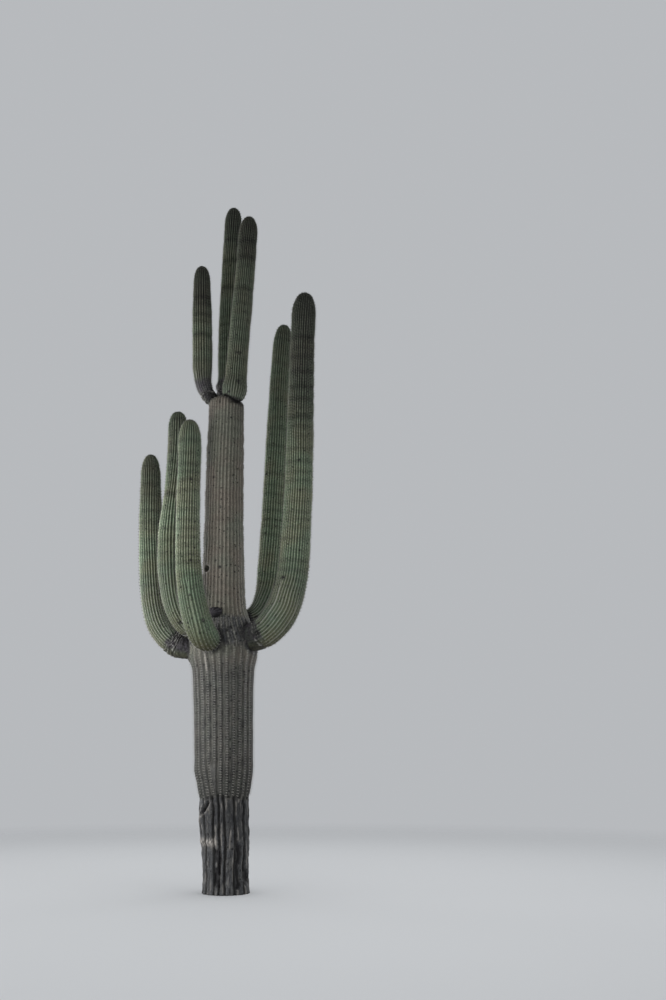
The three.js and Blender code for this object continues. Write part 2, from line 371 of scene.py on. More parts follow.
def outside_trunk(points):
    """How far each point stands outside the trunk's crests: below 0 it is inside the trunk."""
    height = points[..., 2]
    away = (points - trunk_axis(height))[..., :2]
    return np.linalg.norm(away, axis=-1) - trunk_radius(height) * (height < CROWN)


# %% The arms' sizes
def limb(azimuth, **own):
    """An arm's own sizes, and those that most of the arms share. Azimuths are in degrees from +X.

    ribs        how many it has
    azimuth     where its neck leaves the trunk, and heading: which way, with what rise in degrees
    height      of its root, which lies reach from the trunk's middle
    foot, tip   the end of the bend and the top, with the lean of the limb there
    handles     of the bend's curve, as shares of its chord, and swell: where along it the elbow is fullest
    radii       over the crests, at the neck, elbow, foot, shaft and tip
    dome        length of its tip
    neck        how far the cork reaches from the root, and pleated: how much of that has pleats
    weathered   how far the skin beyond the neck is grey, and crevice: the depth of its edge, from 0 to 1
    barrel      how far its neck bulges, and sag: how far its bottom hangs over the trunk
    age         how dark its tip is, and striped: how pale the crests of its elbow are
    waists      heights of those that show most
    """
    shared = dict(
        heading=azimuth, rise=0, reach=0.2, handles=(0.4, 0.4), swell=0.5, weathered=0.02, barrel=0.0,
        sag=0.0, waists=(),
    )
    return {**shared, "azimuth": azimuth, **own}


ARMS = {
    "far_left_arm": limb(
        178, ribs=26, height=2.375, foot=(-0.875, 0.06, 3.235), foot_lean=(-0.073, 0),
        tip=(-0.933, 0.06, 4.505), tip_lean=(-0.059, 0), handles=(0.48, 0.46),
        radii=(0.091, 0.124, 0.122, 0.12, 0.104), dome=0.27, neck=0.36, pleated=0.11, crevice=0.6,
        barrel=0.014, age=0.82, striped=0.8,
    ),
    "middle_left_arm": limb(
        205, ribs=24, height=2.55, foot=(-0.64, -0.22, 3.425), foot_lean=(-0.02, 0),
        tip=(-0.61, -0.22, 4.9), tip_lean=(-0.088, 0), radii=(0.097, 0.111, 0.128, 0.098, 0.107),
        dome=0.21, neck=0.17, pleated=0.05, weathered=0.03, crevice=0.8, age=0.8, striped=0.5,
        waists=(3.98,),
    ),
    "front_left_arm": limb(
        245, ribs=27, heading=267, rise=-26, height=2.515, foot=(-0.387, -0.613, 3.155),
        foot_lean=(-0.079, 0), tip=(-0.423, -0.613, 4.682), tip_lean=(-0.05, 0), handles=(0.67, 0.56),
        swell=0.32, radii=(0.069, 0.140, 0.126, 0.118, 0.116), dome=0.27, neck=0.16, pleated=0.05,
        crevice=0.8, age=0.5, striped=0.12,
    ),
    "rear_right_arm": limb(
        36, ribs=24, height=2.705, foot=(0.35, 0.36, 3.12), foot_lean=(0.073, 0), tip=(0.491, 0.4, 6.17),
        tip_lean=(0.081, 0), radii=(0.088, 0.112, 0.127, 0.119, 0.105), dome=0.25, neck=0.08,
        pleated=0.05, crevice=0.3, age=0.7, striped=0.9,
    ),
    "front_right_arm": limb(
        -22, ribs=32, rise=-10, height=2.50, foot=(0.653, -0.25, 3.237), foot_lean=(0.075, 0),
        tip=(0.748, -0.25, 6.268), tip_lean=(0.054, 0), handles=(0.42, 0.42),
        radii=(0.135, 0.168, 0.156, 0.141, 0.129), dome=0.27, neck=0.225, pleated=0.03, weathered=0.05,
        crevice=0.8, age=1.62, striped=0.7, waists=(4.81, 5.005, 5.145, 5.315, 5.485, 5.715),
    ),
    "top_left_arm": limb(
        170, ribs=23, rise=35, height=5.097, reach=0.12, foot=(-0.395, 0.04, 5.532),
        foot_lean=(-0.028, 0), tip=(-0.436, 0.04, 6.733), tip_lean=(-0.026, 0),
        radii=(0.062, 0.084, 0.107, 0.109, 0.094), dome=0.235, neck=0.145, pleated=0.14, weathered=0.17,
        crevice=1.0, barrel=0.008, age=1.30, striped=0.5, waists=(5.39, 5.87, 6.11, 6.32),
    ),
    "top_rear_arm": limb(
        106, ribs=25, heading=95, rise=80, height=5.1, reach=0.13, foot=(-0.128, 0.185, 5.516),
        foot_lean=(-0.043, 0.02), tip=(-0.108, 0.225, 7.568), tip_lean=(0.014, 0.02),
        radii=(0.08, 0.1, 0.106, 0.099, 0.098), dome=0.235, neck=0.16, pleated=0.05, weathered=0.12,
        crevice=1.0, age=1.12, striped=0.5, waists=(6.52, 6.86, 7.13),
    ),
    "top_front_arm": limb(
        -39, ribs=28, rise=85, height=5.125, reach=0.1, foot=(-0.008, -0.07, 5.353),
        foot_lean=(0.047, 0), tip=(0.101, -0.07, 7.294), tip_lean=(0.036, 0),
        radii=(0.07, 0.134, 0.116, 0.11, 0.104), dome=0.235, neck=0.0, pleated=0.0, weathered=0.0,
        crevice=0.0, sag=0.06, age=1.42, striped=0.4, waists=(6.37, 6.75, 6.95),
    ),
}
LINE_STEPS = 400


def level_way(degrees):
    """A level direction, turned this far from +X."""
    return np.array([math.cos(math.radians(degrees)), math.sin(math.radians(degrees)), 0])


def unit(vector):
    vector = np.asarray(vector, float)
    return vector / np.linalg.norm(vector, axis=-1, keepdims=True)


def arm_line(arm):
    """Fine points down the middle of an arm, their distance from its root, and the bend's length."""
    root = trunk_axis(arm["height"]) + arm["reach"] * level_way(arm["azimuth"])
    rise = math.radians(arm["rise"])
    out = level_way(arm["heading"]) * math.cos(rise) + np.array([0, 0, math.sin(rise)])
    foot, tip = np.array(arm["foot"]), np.array(arm["tip"])
    foot_up, tip_up = unit([*arm["foot_lean"], 1]), unit([*arm["tip_lean"], 1])
    chord = np.linalg.norm(foot - root)
    third = np.linalg.norm(tip - foot) / 3
    bend = (root, root + out * chord * arm["handles"][0], foot - foot_up * chord * arm["handles"][1], foot)
    shaft = (foot, foot + foot_up * third, tip - tip_up * third, tip)
    t = np.linspace(0, 1, LINE_STEPS + 1)[:, None]
    weights = ((1 - t) ** 3, 3 * t * (1 - t) ** 2, 3 * t * t * (1 - t), t**3)
    curves = [sum(weight * corner for weight, corner in zip(weights, curve)) for curve in (bend, shaft)]
    line = np.concatenate([curves[0], curves[1][1:]])
    steps = np.linalg.norm(np.diff(line, axis=0), axis=1)
    places = np.concatenate([[0], np.cumsum(steps)])
    return line, places, places[LINE_STEPS]


for name, arm in ARMS.items():
    _, places, bend_length = arm_line(arm)
    print(f"{name}: bend {bend_length:.2f} m, shaft {places[-1] - bend_length:.2f} m")

# %% [markdown]
# ## Scars and knobs
# Woodpeckers, frost and branches that rubbed have left small dark scars, and some places have swollen. They
# could be painted anywhere, but the photograph shows where they are, so each is listed by where it shows
# from the front: how far it is across and how high, in metres.

# %% Scars and knobs
SCARS = {
    # piece: across, height and radius of each
    "front_right_arm": (
        (0.701, 4.317, 0.014), (0.714, 3.993, 0.012), (0.548, 3.078, 0.018), (0.29, 2.52, 0.03),
        (0.30, 2.62, 0.013),
    ),
    "rear_right_arm": ((0.315, 4.355, 0.012), (0.25, 2.73, 0.025)),
    "front_left_arm": (
        (-0.375, 4.02, 0.011), (-0.348, 3.19, 0.011), (-0.346, 2.839, 0.012), (-0.211, 2.594, 0.018),
    ),
    "middle_left_arm": ((-0.497, 2.625, 0.018),),
    "top_front_arm": (
        (-0.003, 5.602, 0.014), (0.021, 5.605, 0.013), (0.044, 5.600, 0.014), (0.028, 5.267, 0.018),
        (-0.067, 5.150, 0.013),
    ),
    "trunk": (
        (-0.214, 4.19, 0.011), (-0.116, 3.214, 0.015), (0.016, 2.584, 0.012), (-0.014, 2.544, 0.011),
        (0.078, 2.513, 0.012), (0.068, 2.454, 0.011), (-0.168, 5.038, 0.012), (-0.05, 3.62, 0.008),
        (0.235, 2.70, 0.032), (0.25, 2.60, 0.034), (0.262, 2.48, 0.03),
    ),
}
KNOBS = {
    # piece: across, height, radius and how far it stands out
    "top_rear_arm": ((-0.22, 5.315, 0.035, 0.016),),
    "trunk": ((-0.36, 1.155, 0.07, 0.010), (-0.235, 0.72, 0.10, 0.012)),
}
SCAR_DEPTH = 0.006
FACES_FRONT = 0.15
FAR_AWAY = 9.0


def scars_and_knobs(name, skin, out):
    """How dark and how raised each point is for its scars and knobs, on the side that the viewer sees."""

    def spot(across, height, size):
        away = np.hypot(skin[..., 0] - across, skin[..., 2] - height)
        return bell(np.where(out[..., 1] < FACES_FRONT, away, FAR_AWAY), size)

    dark = np.zeros(skin.shape[:2])
    raised = np.zeros(skin.shape[:2])
    for scar in SCARS.get(name, ()):
        dark = np.maximum(dark, np.minimum(1.4 * spot(*scar), 1))
        raised = raised - SCAR_DEPTH * spot(*scar)
    for across, height, size, stands in KNOBS.get(name, ()):
        raised = raised + stands * spot(across, height, size)
    return dark, raised


# %% [markdown]
# ## Arms
# An arm is the plant's green growth. It has 23 to 32 ribs, each with a row of areoles, the felted pads that
# the spines grow from, about three centimetres apart. It could be the imported solid with an embossed
# pattern, but a skin of its own can also have forked ribs, the small waists that each dry season leaves,
# and a corky neck: smooth, dark and pleated, with a crevice where the ribbed green tissue bulges over it.
# Marks on its points say where the skin is crest, cork, felt, old tip, waist or scar, and where shade and
# highlights are painted: on undersides, in crevices and creases, high on the plant, and on the neck's top
# and pleats. The materials read them later.

# %% Rows, ribs and waists of an arm
ARM_STEPS = np.array((0, 0.17, 0.36, 0.5, 0.64, 0.83))
ARM_ROW = 0.0107
NECK_ROW = 0.006
NECK_LENGTH = 0.46
DOME_ROWS = 30
DOME_POWER = 2.25
FORK_SHARE = 0.08
WAIST_WIDTH = 0.024


def arm_rows(total, dome):
    """How far along the arm each ring lies, and how much the dome at its tip has shrunk it."""
    neck = np.arange(0, NECK_LENGTH, NECK_ROW)
    count = round((total - dome - NECK_LENGTH) / ARM_ROW)
    shaft = np.linspace(NECK_LENGTH, total - dome, count, endpoint=False)
    climb = 1 - (1 - np.arange(DOME_ROWS) / DOME_ROWS) ** 1.6
    places = np.concatenate([neck, shaft, total - dome + dome * climb])
    shrink = np.concatenate([np.ones(len(neck) + len(shaft)), (1 - climb**DOME_POWER) ** (1 / DOME_POWER)])
    return places, shrink


def forked_ribs(rng, ribs, places, bend_length):
    """How wide and how open each rib's furrow is at each ring: a few are closed near the neck."""
    opening = np.full(ribs, -1.0)
    chosen = rng.permutation(np.arange(0, ribs, 2))[: round(ribs * FORK_SHARE)]
    opening[chosen] = rng.uniform(0.3, 0.95, len(chosen)) * bend_length
    open_furrow = ramp(places[:, None], opening - 0.04, opening + 0.16)
    own_width = 1 + 0.08 * rng.standard_normal(ribs).clip(-1.5, 1.5)
    return own_width * (0.3 + 0.7 * open_furrow), open_furrow


def growth_waists(rng, places, known, first, last):
    """How far each point lies in a waist, from 0 to 1: in those that show most, and in chance ones."""
    depth = np.zeros_like(places)
    place = first
    while place < last:
        if all(abs(place - other) > 0.08 for other in known):
            depth = np.maximum(depth, rng.uniform(0.15, 0.6) * bell(places - place, WAIST_WIDTH))
        place += rng.uniform(0.07, 0.14)
    for place in known:
        depth = np.maximum(depth, 0.8 * bell(places - place, 1.4 * WAIST_WIDTH))
    return depth


def limb_frame(arm, places):
    """The middle of an arm at each place, and three directions there: along it, and two across it."""
    line, line_places, _ = arm_line(arm)

    def line_at(where):
        return np.stack([np.interp(where, line_places, line[:, k]) for k in range(3)], axis=-1)

    along = unit(line_at(places + 0.004) - line_at(places - 0.004))
    side = level_way(arm["heading"] + 90)
    first = unit(side - along * (along @ side)[:, None])
    return line_at(places), along, first, np.cross(along, first)


def areole_spots(rng, across, pitch, uneven, places, allowed):
    """Staggered rows of areoles on the crests, shifted along the limb by up to this share of the pitch.

    Gives a map of them, a list of their rings and columns, how many areoles along its own row each
    point is, and whether the crest nearest to it bears any.
    """
    ribs, steps = allowed.shape[1], len(across)
    felt = np.zeros((len(places), ribs * steps))
    offsets = pitch * (0.5 * (np.arange(ribs) % 2) + rng.uniform(-uneven, uneven, ribs))
    rooted = []
    for rib, offset in enumerate(offsets):
        spots = np.arange(offset, places[-1], pitch)
        rings = np.unique(np.abs(places[:, None] - spots).argmin(axis=0))
        rings = rings[allowed[rings, rib]]
        felt[rings, rib * steps] = 1
        rooted += [(ring, rib * steps) for ring in rings]
    nearest = (np.repeat(np.arange(ribs), steps) + np.tile(across > 0.5, ribs)) % ribs
    order = (places[:, None] - offsets[nearest]) / pitch
    return felt, np.array(rooted), order, allowed[:, nearest]


# %% Girth and neck of an arm
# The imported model's tips are domes this many tip radii long. The skin's own domes are longer and rounder.
PACKED_DOME = 1.5
SHAFT_STATION = 0.45
ARM_FURROWS = (0.006, 0.011, 0.014, 0.014, 0.013)
BULB_LENGTH = 0.12
NECK_START = 0.07
EDGE_FRAY = 0.020
PLEAT_PITCH = 0.032
PLEAT_DEPTH = 0.005
WAIST_DEPTH = 0.05
CREVICE_DEPTH = 0.013


def arm_girth(arm, places, bend_length, total):
    """The radius over the crests and the depth of the furrows at each place along an arm."""
    elbow = arm["swell"] * bend_length
    shaft = bend_length + SHAFT_STATION * (total - bend_length)
    stations = (0, elbow, bend_length, shaft, total - PACKED_DOME * arm["radii"][-1])
    radius, depth = [
        smooth_profile(list(zip(stations, sizes)))(places) for sizes in (arm["radii"], ARM_FURROWS)
    ]
    if arm["sag"]:
        bulb = arm["radii"][1] * (0.63 + 0.37 * rounded(places / BULB_LENGTH))
        radius = np.where(places < elbow, np.maximum(radius, bulb), radius)
    elif arm["height"] > SHOULDER:
        # A neck that stands on the crown starts narrow, so that no flat end of it shows over the edge.
        radius = radius * (0.5 + 0.5 * rounded(places / NECK_START))
    return radius, depth


def corky_neck(arm, smooth, places, seed):
    """Where an arm is cork and how that is creased. It ends at a ragged edge, beyond which green tissue
    bulges, with a crevice between them or pale and dark streaks.
    """
    present = arm["neck"] > 0
    ragged = lumps(smooth, 0.06, seed + 31) + 0.5 * lumps(smooth, 0.02, seed + 37)
    edge = arm["neck"] + EDGE_FRAY * ragged - places[:, None]
    whole = ramp(edge, -0.012, 0.006) * present
    faded = arm["weathered"]
    return SimpleNamespace(
        edge=edge,
        whole=whole,
        crevice=bell(edge, 0.009) * arm["crevice"],
        streaked=bell(edge + 0.005, 0.04) * present * (1 - arm["crevice"]),
        bulge=bell(edge + 0.055, 0.04) * present,
        pleated=whole * ramp(arm["pleated"] - edge, 0, 0.02),
        weathered=ramp(edge, -faded - 0.02, -0.8 * faded) * (faded > 0),
        pleats=np.sin(edge * 2 * np.pi / PLEAT_PITCH + 0.8 * lumps(smooth, 0.05, seed)),
        crumple=lumps(smooth, 0.022, seed + 5),
    )


# %% Tones of an arm
def arm_tones(arm, seed, body, cork, dark, waist):
    """The marks that say where an arm's skin is crest, cork, old tip, waist, scar or pale, and where painted
    shade and painted highlights lie.
    """
    places, out, furrow = body.places[:, None], body.out, body.furrow
    patchy = 0.35 * lumps(body.skin, 0.05, seed + 23)
    grey = np.maximum(cork.whole, 0.85 * cork.weathered)
    elbow = 1 - ramp(places, 0.6 * body.bend, 1.25 * body.bend)
    old_crest = ramp(furrow, 0.3, 0.05) * elbow * (1 - cork.weathered)
    # Painted shade: on the neck near the trunk, in its dents, at the bottom of an overhanging neck and in the
    # furrows by its edge.
    shaded = cork.whole * (1 - ramp(body.outside, 0.0, 0.06))
    dents = 0.9 * cork.whole * (0.2 + 0.8 * arm["crevice"]) * ramp(-cork.crumple, 0.0, 0.25)
    overhang_shade = 0.95 * (arm["sag"] > 0) * (1 - ramp(places, 0.015, 0.045)) * np.ones_like(furrow)
    stripes = 0.9 * cork.streaked * ramp(body.valley, 0.45, 0.8)

    # Painted highlights where the sky catches the top of the neck, and its pleats here and there.
    upper = share(0.8 * out[..., 2] - 0.6 * out[..., 1] - 0.4)
    broken = ramp(lumps(body.smooth, 0.03, seed + 41), -0.2, 0.25)
    painted_highlight = 0.4 * cork.whole * upper * ramp(body.outside, 0.05, 0.12)
    painted_highlight = painted_highlight + 1.1 * cork.pleated * broken * share(cork.pleats) ** 2 * ramp(body.outside, 0.03, 0.08)
    old_neck = (0.15 + 0.45 * arm["crevice"]) * cork.whole * share(1 - 2 * painted_highlight)

    # Tips are old and dark for their last 1.3 metres. All that stands high on the plant is painted darker
    # too, which is painted shade.
    high = (0.45 if arm["height"] > SHOULDER else 0.6) * ramp(body.skin[..., 2], 4.0, 5.4)
    old_and_high = np.maximum(ramp(places, body.total - 1.3, body.total - 0.05), high)
    # Skin that faces down, past its first 10 cm, is painted darker: painted shade on the underside.
    under = share(-out[..., 2] - 0.1) * ramp(places, 0.0, 0.1)
    # The dark mark holds scars, the old neck's own dark tissue, and painted shade: that above and in the
    # crevice.
    scars_and_shade = [dark, 0.8 * shaded, cork.crevice * (0.7 + cork.crumple), dents, stripes, overhang_shade, old_neck]
    pale_crest = arm["striped"] * old_crest * (1 - cork.whole) * (1 - 0.7 * share(under))
    return {
        "crest": (1 - furrow) * (1 - 0.3 * elbow),
        "comb": (1 - 0.85 * elbow) * (1 - np.maximum(cork.whole, cork.weathered)) * (1 - share(1.1 * old_and_high)),
        "cork": share(grey * (1 + patchy) * (1 - 0.8 * ramp(-out[..., 2], 0.25, 0.7))),
        "aged": share((arm["age"] * old_and_high + 0.3 * patchy) * (1 - 0.5 * ramp(furrow, 0.15, 0.0))),
        # Waists and the valleys of the neck's pleats are painted darker: painted shade.
        "waist": share(1.15 * waist + cork.pleated * share(-cork.pleats)),
        "under": share(1.3 * under),
        "scar": share(np.maximum.reduce(scars_and_shade)),
        "pale": np.maximum.reduce([pale_crest, 0.6 * cork.streaked * ramp(body.valley, 0.35, 0.1), painted_highlight]),
    }


# %% Skin of an arm
AREOLE_PITCH = 0.032
FAR_ASIDE = 0.05
areoles = {}


def arm_skin(name, arm, seed):
    """One arm's skin. It also notes where its areoles are, for the spines."""
    rng = np.random.default_rng(seed)
    line, line_places, bend = arm_line(arm)
    total = line_places[-1]
    places, shrink = arm_rows(total, arm["dome"])
    centre, along, first, second = limb_frame(arm, places)
    spread, open_furrow = forked_ribs(rng, arm["ribs"], places, bend)
    angles, valley, aside = rib_columns(spread, open_furrow, ARM_STEPS)
    wander = 0.05 * np.sin(places * 1.9 + seed) + 0.02 * np.sin(places * 5.3 + 2 * seed)
    angles = angles + wander[:, None]
    out = first[:, None] * np.cos(angles)[..., None] + second[:, None] * np.sin(angles)[..., None]
    radius, depth = arm_girth(arm, places, bend, total)
    smooth = centre[:, None] + out * (radius * shrink)[:, None, None]
    cork = corky_neck(arm, smooth, places, seed)

    # Waists start above the elbow and tilt a little.
    turned = places[:, None] + 0.007 * np.sin(angles + seed)
    known = [float(np.interp(height, line[:, 2], line_places)) for height in arm["waists"]]
    waist = growth_waists(rng, turned, known, 0.6 * bend, total - 0.07)
    waist = waist * ramp(turned, 0.5 * bend, 0.8 * bend + 0.2)

    furrow = valley * (1 - 0.85 * np.maximum(cork.whole, 0.6 * cork.weathered))
    barrel = arm["barrel"] * cork.whole * bell(cork.edge - 0.09, 0.09) * (0.7 - 0.5 * out[..., 2])
    reach = radius[:, None] * (1 - WAIST_DEPTH * waist) - depth[:, None] * furrow
    reach = reach + 0.004 * cork.bulge + 0.006 * cork.whole + barrel - CREVICE_DEPTH * cork.crevice
    skin = centre[:, None] + out * (reach * shrink[:, None])[..., None]
    outside = outside_trunk(skin)
    skin[..., 2] -= arm["sag"] * (1 - ramp(places, 0, 0.17))[:, None] * ramp(outside, -0.09, 0.02)

    allowed = (shrink[:, None] > 0.25) & (np.roll(open_furrow, 1, axis=1) > 0.5)
    allowed = allowed & (places[:, None] > arm["neck"] + 0.01)
    felt, rooted, order, bearing = areole_spots(rng, ARM_STEPS, AREOLE_PITCH, 0.4, places, allowed)
    neighbours = 0.5 * (np.roll(felt, 1, axis=0) + np.roll(felt, -1, axis=0))
    dark, raised = scars_and_knobs(name, skin, out)
    bump = 0.0026 * felt + 0.0008 * neighbours + raised
    bump = bump + cork.whole * (0.002 + 0.006 * arm["crevice"]) * cork.crumple
    bump = bump + cork.pleated * PLEAT_DEPTH * cork.pleats
    bump = bump + 0.0014 * lumps(skin, 0.03, seed + 11) + 0.004 * lumps(skin, 0.16, seed + 17)
    skin = skin + out * (bump * np.minimum(shrink + 0.15, 1)[:, None])[..., None]

    body = SimpleNamespace(
        places=places, bend=bend, total=total, out=out, smooth=smooth, skin=skin, valley=valley,
        furrow=furrow, outside=outside,
    )
    marks = arm_tones(arm, seed, body, cork, dark, waist)
    marks |= {"order": order, "aside": aside * radius[:, None] + FAR_ASIDE * ~bearing}
    piece = closed_skin(f"{name}_skin", skin, centre[0] - along[0] * 0.5 * NECK_ROW, line[-1], marks)
    areoles[piece.name] = dict(
        rows=rooted, columns=skin.shape[1], along=along, places=places, outside=outside, tip=total,
    )
    return piece


arm_pieces = {}
for seed, (name, arm) in enumerate(ARMS.items(), start=1):
    arm_pieces[name] = arm_skin(name, arm, seed)
    print(f"{name}: {triangles(arm_pieces[name])} triangles")

# %% [markdown]
# ## Trunk
# The trunk is the oldest part. It has 28 ribs at its waist, which fork to 32 above the arms. Below a scar
# line at 0.9 metres the skin has died and turned to bark: some ribs have closed up into broad flat ones
# with black cracks between, and the ribs above end over it with a dark notch in each furrow. On the left of
# the foot is a gash with a healed lip, and lower down a frayed edge where the bark has broken off. Above the
# arms a woodpecker has made a hole. The foot could be a second mesh, and the hole and the gash could be cut
# with a Boolean, but one skin that changes its profile and is pressed inwards there leaves no seam.

# %% Rings and ribs of the trunk
TRUNK_RIBS = 32
TRUNK_STEPS = np.array((0, 0.18, 0.38, 0.5, 0.62, 0.82))
SCAR_LINE = 0.905
SCAR_RIBS = (1, 5, 8, 11, 14, 17, 19, 22, 25, 27, 30)
WAIST_RIBS = (4, 12, 20, 28)
Y_FORK_RIB = 22
Y_FORK_HEIGHT = 1.2
SKIN_CROWN = 5.15
CROWN_ROWS = 9
# Rings from one height to the next are this far apart: close together where the skin has small features.
TRUNK_ROWS = (
    (0, 0.42, 0.012),
    (0.42, 0.893, 0.009),
    (0.893, 0.933, 0.004),
    (0.933, 2.3, 0.0125),
    (2.3, 2.85, 0.0085),
    (2.85, 3.13, 0.014),
    (3.13, 3.29, 0.008),
    (3.29, SHOULDER, 0.0135),
)


def trunk_rings():
    """The height of each ring, and how much the rounded crown has shrunk it."""
    heights = np.concatenate([np.arange(start, stop - step / 2, step) for start, stop, step in TRUNK_ROWS])
    turn = np.linspace(0, np.pi / 2, CROWN_ROWS, endpoint=False)
    rings = np.concatenate([heights, SHOULDER + (SKIN_CROWN - SHOULDER) * np.sin(turn)])
    return rings, np.concatenate([np.ones(len(heights)), np.cos(turn)])


def trunk_ribs(rng, heights):
    """How wide each rib is, and how open the furrow beside it is, at each height."""
    open_furrow = np.ones((len(heights), TRUNK_RIBS))
    spread = open_furrow * (1 + 0.07 * rng.standard_normal(TRUNK_RIBS).clip(-1.5, 1.5))
    for rib in SCAR_RIBS:
        forks = rib == Y_FORK_RIB
        start, length, narrow = (Y_FORK_HEIGHT, 0.12, 0.12) if forks else (SCAR_LINE, 0.004, 0.7)
        open_furrow[:, rib] = 0.10 + 0.90 * ramp(heights, start, start + length)
        spread[:, rib] *= narrow + (1 - narrow) * ramp(heights, start - 0.4, start + length)
    for rib in WAIST_RIBS:
        start = rng.uniform(2.35, 2.6)
        open_furrow[:, rib] = ramp(heights, start, start + 0.15)
        spread[:, rib] *= 0.1 + 0.9 * ramp(heights, start - 0.05, start + 0.3)
    drift = np.stack([heights * 3, np.zeros_like(heights), np.zeros_like(heights)], axis=-1)
    bark = 1 - ramp(heights, SCAR_LINE - 0.1, SCAR_LINE)
    for rib in range(TRUNK_RIBS):
        spread[:, rib] *= 1 + 0.16 * bark * lumps(drift + rib * 7.3, 1.0, 3)
    return spread, open_furrow


# %% Damage to the trunk
HOLE = dict(azimuth=221, height=3.208, radius=0.029, depth=0.06)
GASH = dict(azimuth=222, height=0.806, length=0.17, width=0.036, depth=0.034, slant=46)
CHIP_LINE = 0.485
# across, foot, head and half width of the dark hollows in the bark
HOLLOWS = ((-0.058, 0.08, 0.50, 0.038), (0.132, 0.06, 0.56, 0.020), (0.195, 0.10, 0.36, 0.018))
# One rib's crest is scraped pale: how far across it is at the ground's level, and how that grows with height.
SCRAPED_AT = 0.052
SCRAPED_LEAN = -0.125


def gash_and_hole(skin, angles, height):
    """How deep, how dark and how pale each point is for the gash in the foot and the hole above the arms."""
    girth = np.linalg.norm((skin - trunk_axis(height))[..., :2], axis=-1)

    def beside(azimuth):
        turn = angles - math.radians(azimuth)
        return girth * (turn - 2 * np.pi * np.round(turn / (2 * np.pi)))

    away = np.hypot(beside(HOLE["azimuth"]) / 1.3, height - HOLE["height"]) / HOLE["radius"]
    dark = bell(away, 1, 4)
    inwards = HOLE["depth"] * bell(away, 1, 6) - 0.003 * bell(away - 1.5, 0.4)
    pale = 0.35 * bell(away - 1.5, 0.35)

    slant = math.radians(GASH["slant"])
    across, up = beside(GASH["azimuth"]), height - GASH["height"]
    along = (across * math.sin(slant) + up * math.cos(slant)) / (GASH["length"] / 2)
    aside = across * math.cos(slant) - up * math.sin(slant) - 0.016 * (1 - along**2)
    slot = bell(along, 1, 4) * bell(aside, GASH["width"] / 2, 4)
    near = bell(along, 1.25, 4)
    callus = near * bell(aside - 0.028, 0.012)
    scab = near * bell(aside + 0.038, 0.022)
    rough = scab * (0.5 + lumps(skin, 0.02, 61))
    inwards = inwards + GASH["depth"] * slot - 0.012 * callus - 0.012 * rough
    dark = np.maximum.reduce([dark, np.minimum(1.6 * slot, 1), 0.35 * scab])
    return inwards, dark, np.maximum(pale, 0.35 * callus * (1 - slot))


def bark_marks(skin, out):
    """The frayed edge and the dark hollows of the foot: how deep, how dark and how pale each point is, and
    whether it is below the edge.
    """
    across, height = skin[..., 0], skin[..., 2]
    front = out[..., 1] < 0.2
    dark = np.zeros(skin.shape[:2])
    for middle, foot, head, half_width in HOLLOWS:
        sway = 0.012 * np.sin(height * 23 + middle * 90)
        inside = bell(across - middle - sway, half_width) * front
        dark = np.maximum(dark, inside * band(height, foot - 0.05, foot + 0.03, head - 0.12, head))
    dark = ramp(dark + 0.45 * lumps(skin, (0.02, 0.02, 0.06), 71), 0.35, 0.7) * (dark > 0.05)
    broken = front * (1 - ramp(across, -0.09, -0.06))
    ragged = height - CHIP_LINE - 0.016 * lumps(skin, 0.03, 83)
    chips = broken * bell(ragged, 0.034)
    below = broken * (1 - ramp(ragged, -0.02, 0.0))
    inwards = 0.018 * dark + 0.008 * below - 0.006 * chips
    fray = share(1.2 * chips * (0.6 + 1.7 * lumps(skin, (0.014, 0.014, 0.028), 91)))
    return inwards, dark, fray, below


def scab_marks(skin, scab, facing):
    """The scab between the arms: its relief, its dark pits, its pale specks and the dark drips below it."""
    height = skin[..., 2]
    wrinkle = np.sin(height * 2 * np.pi / 0.026 + 2.2 * lumps(skin, 0.08, 3)) * ramp(height, 2.56, 2.62)
    crumple = lumps(skin, (0.028, 0.028, 0.05), 9)
    pits = ramp(lumps(skin, (0.016, 0.016, 0.024), 15), 0.22, 0.5) * (1 - ramp(height, 2.6, 2.64))
    specks = scab * ramp(lumps(skin, (0.011, 0.011, 0.016), 27), 0.22, 0.5)
    drips = 0.6 * facing * band(height, 2.2, 2.42, 2.42, 2.5)
    drips = drips * ramp(lumps(skin, (0.014, 0.014, 0.07), 29), 0.0, 0.3)
    return scab * (0.004 * wrinkle + 0.008 * crumple - 0.009 * pits), pits, specks, drips


# %% The arms' marks on the trunk
def beside_neck(skin, line):
    """How far forward each point is of an arm's root, and how far from the way that its neck points."""
    offset, way = skin - line[0], unit(line[1] - line[0])
    forward = offset @ way
    return forward, np.linalg.norm(offset - forward[..., None] * way, axis=-1)


def round_the_necks(skin):
    """How far each point lies in the ring of old tissue that swells round a neck, and in an arm's shelter."""
    collar = np.zeros(skin.shape[:2])
    sheltered = np.zeros(skin.shape[:2])
    for arm in ARMS.values():
        line, line_places, bend = arm_line(arm)
        neck, elbow = arm["radii"][:2]
        girth = smooth_profile([(0, neck), (arm["swell"] * bend, elbow)])
        for middle, place in zip(line[:LINE_STEPS:16], line_places[:LINE_STEPS:16]):
            gap = np.linalg.norm(skin - middle, axis=-1) - girth(place)
            sheltered = np.maximum(sheltered, 1 - ramp(gap, 0.0, 0.08))
        forward, away = beside_neck(skin, line)
        collar = np.maximum(collar, bell(away - neck - 0.008, 0.035) * (forward > -0.05))
    return collar, sheltered


def pressed_crown(skin):
    """How far the arms on the crown press each point in. Their shade and old tissue make it dark there."""
    pressed = np.zeros(skin.shape[:2])
    for arm in ARMS.values():
        if arm["height"] > SHOULDER:
            away = np.linalg.norm((skin - arm_line(arm)[0][0])[..., :2], axis=-1)
            near = 1 - ramp(away, 0.075, arm["radii"][1] + 0.012)
            pressed = np.maximum(pressed, near * ramp(skin[..., 2], 5.01, 5.06))
    return pressed


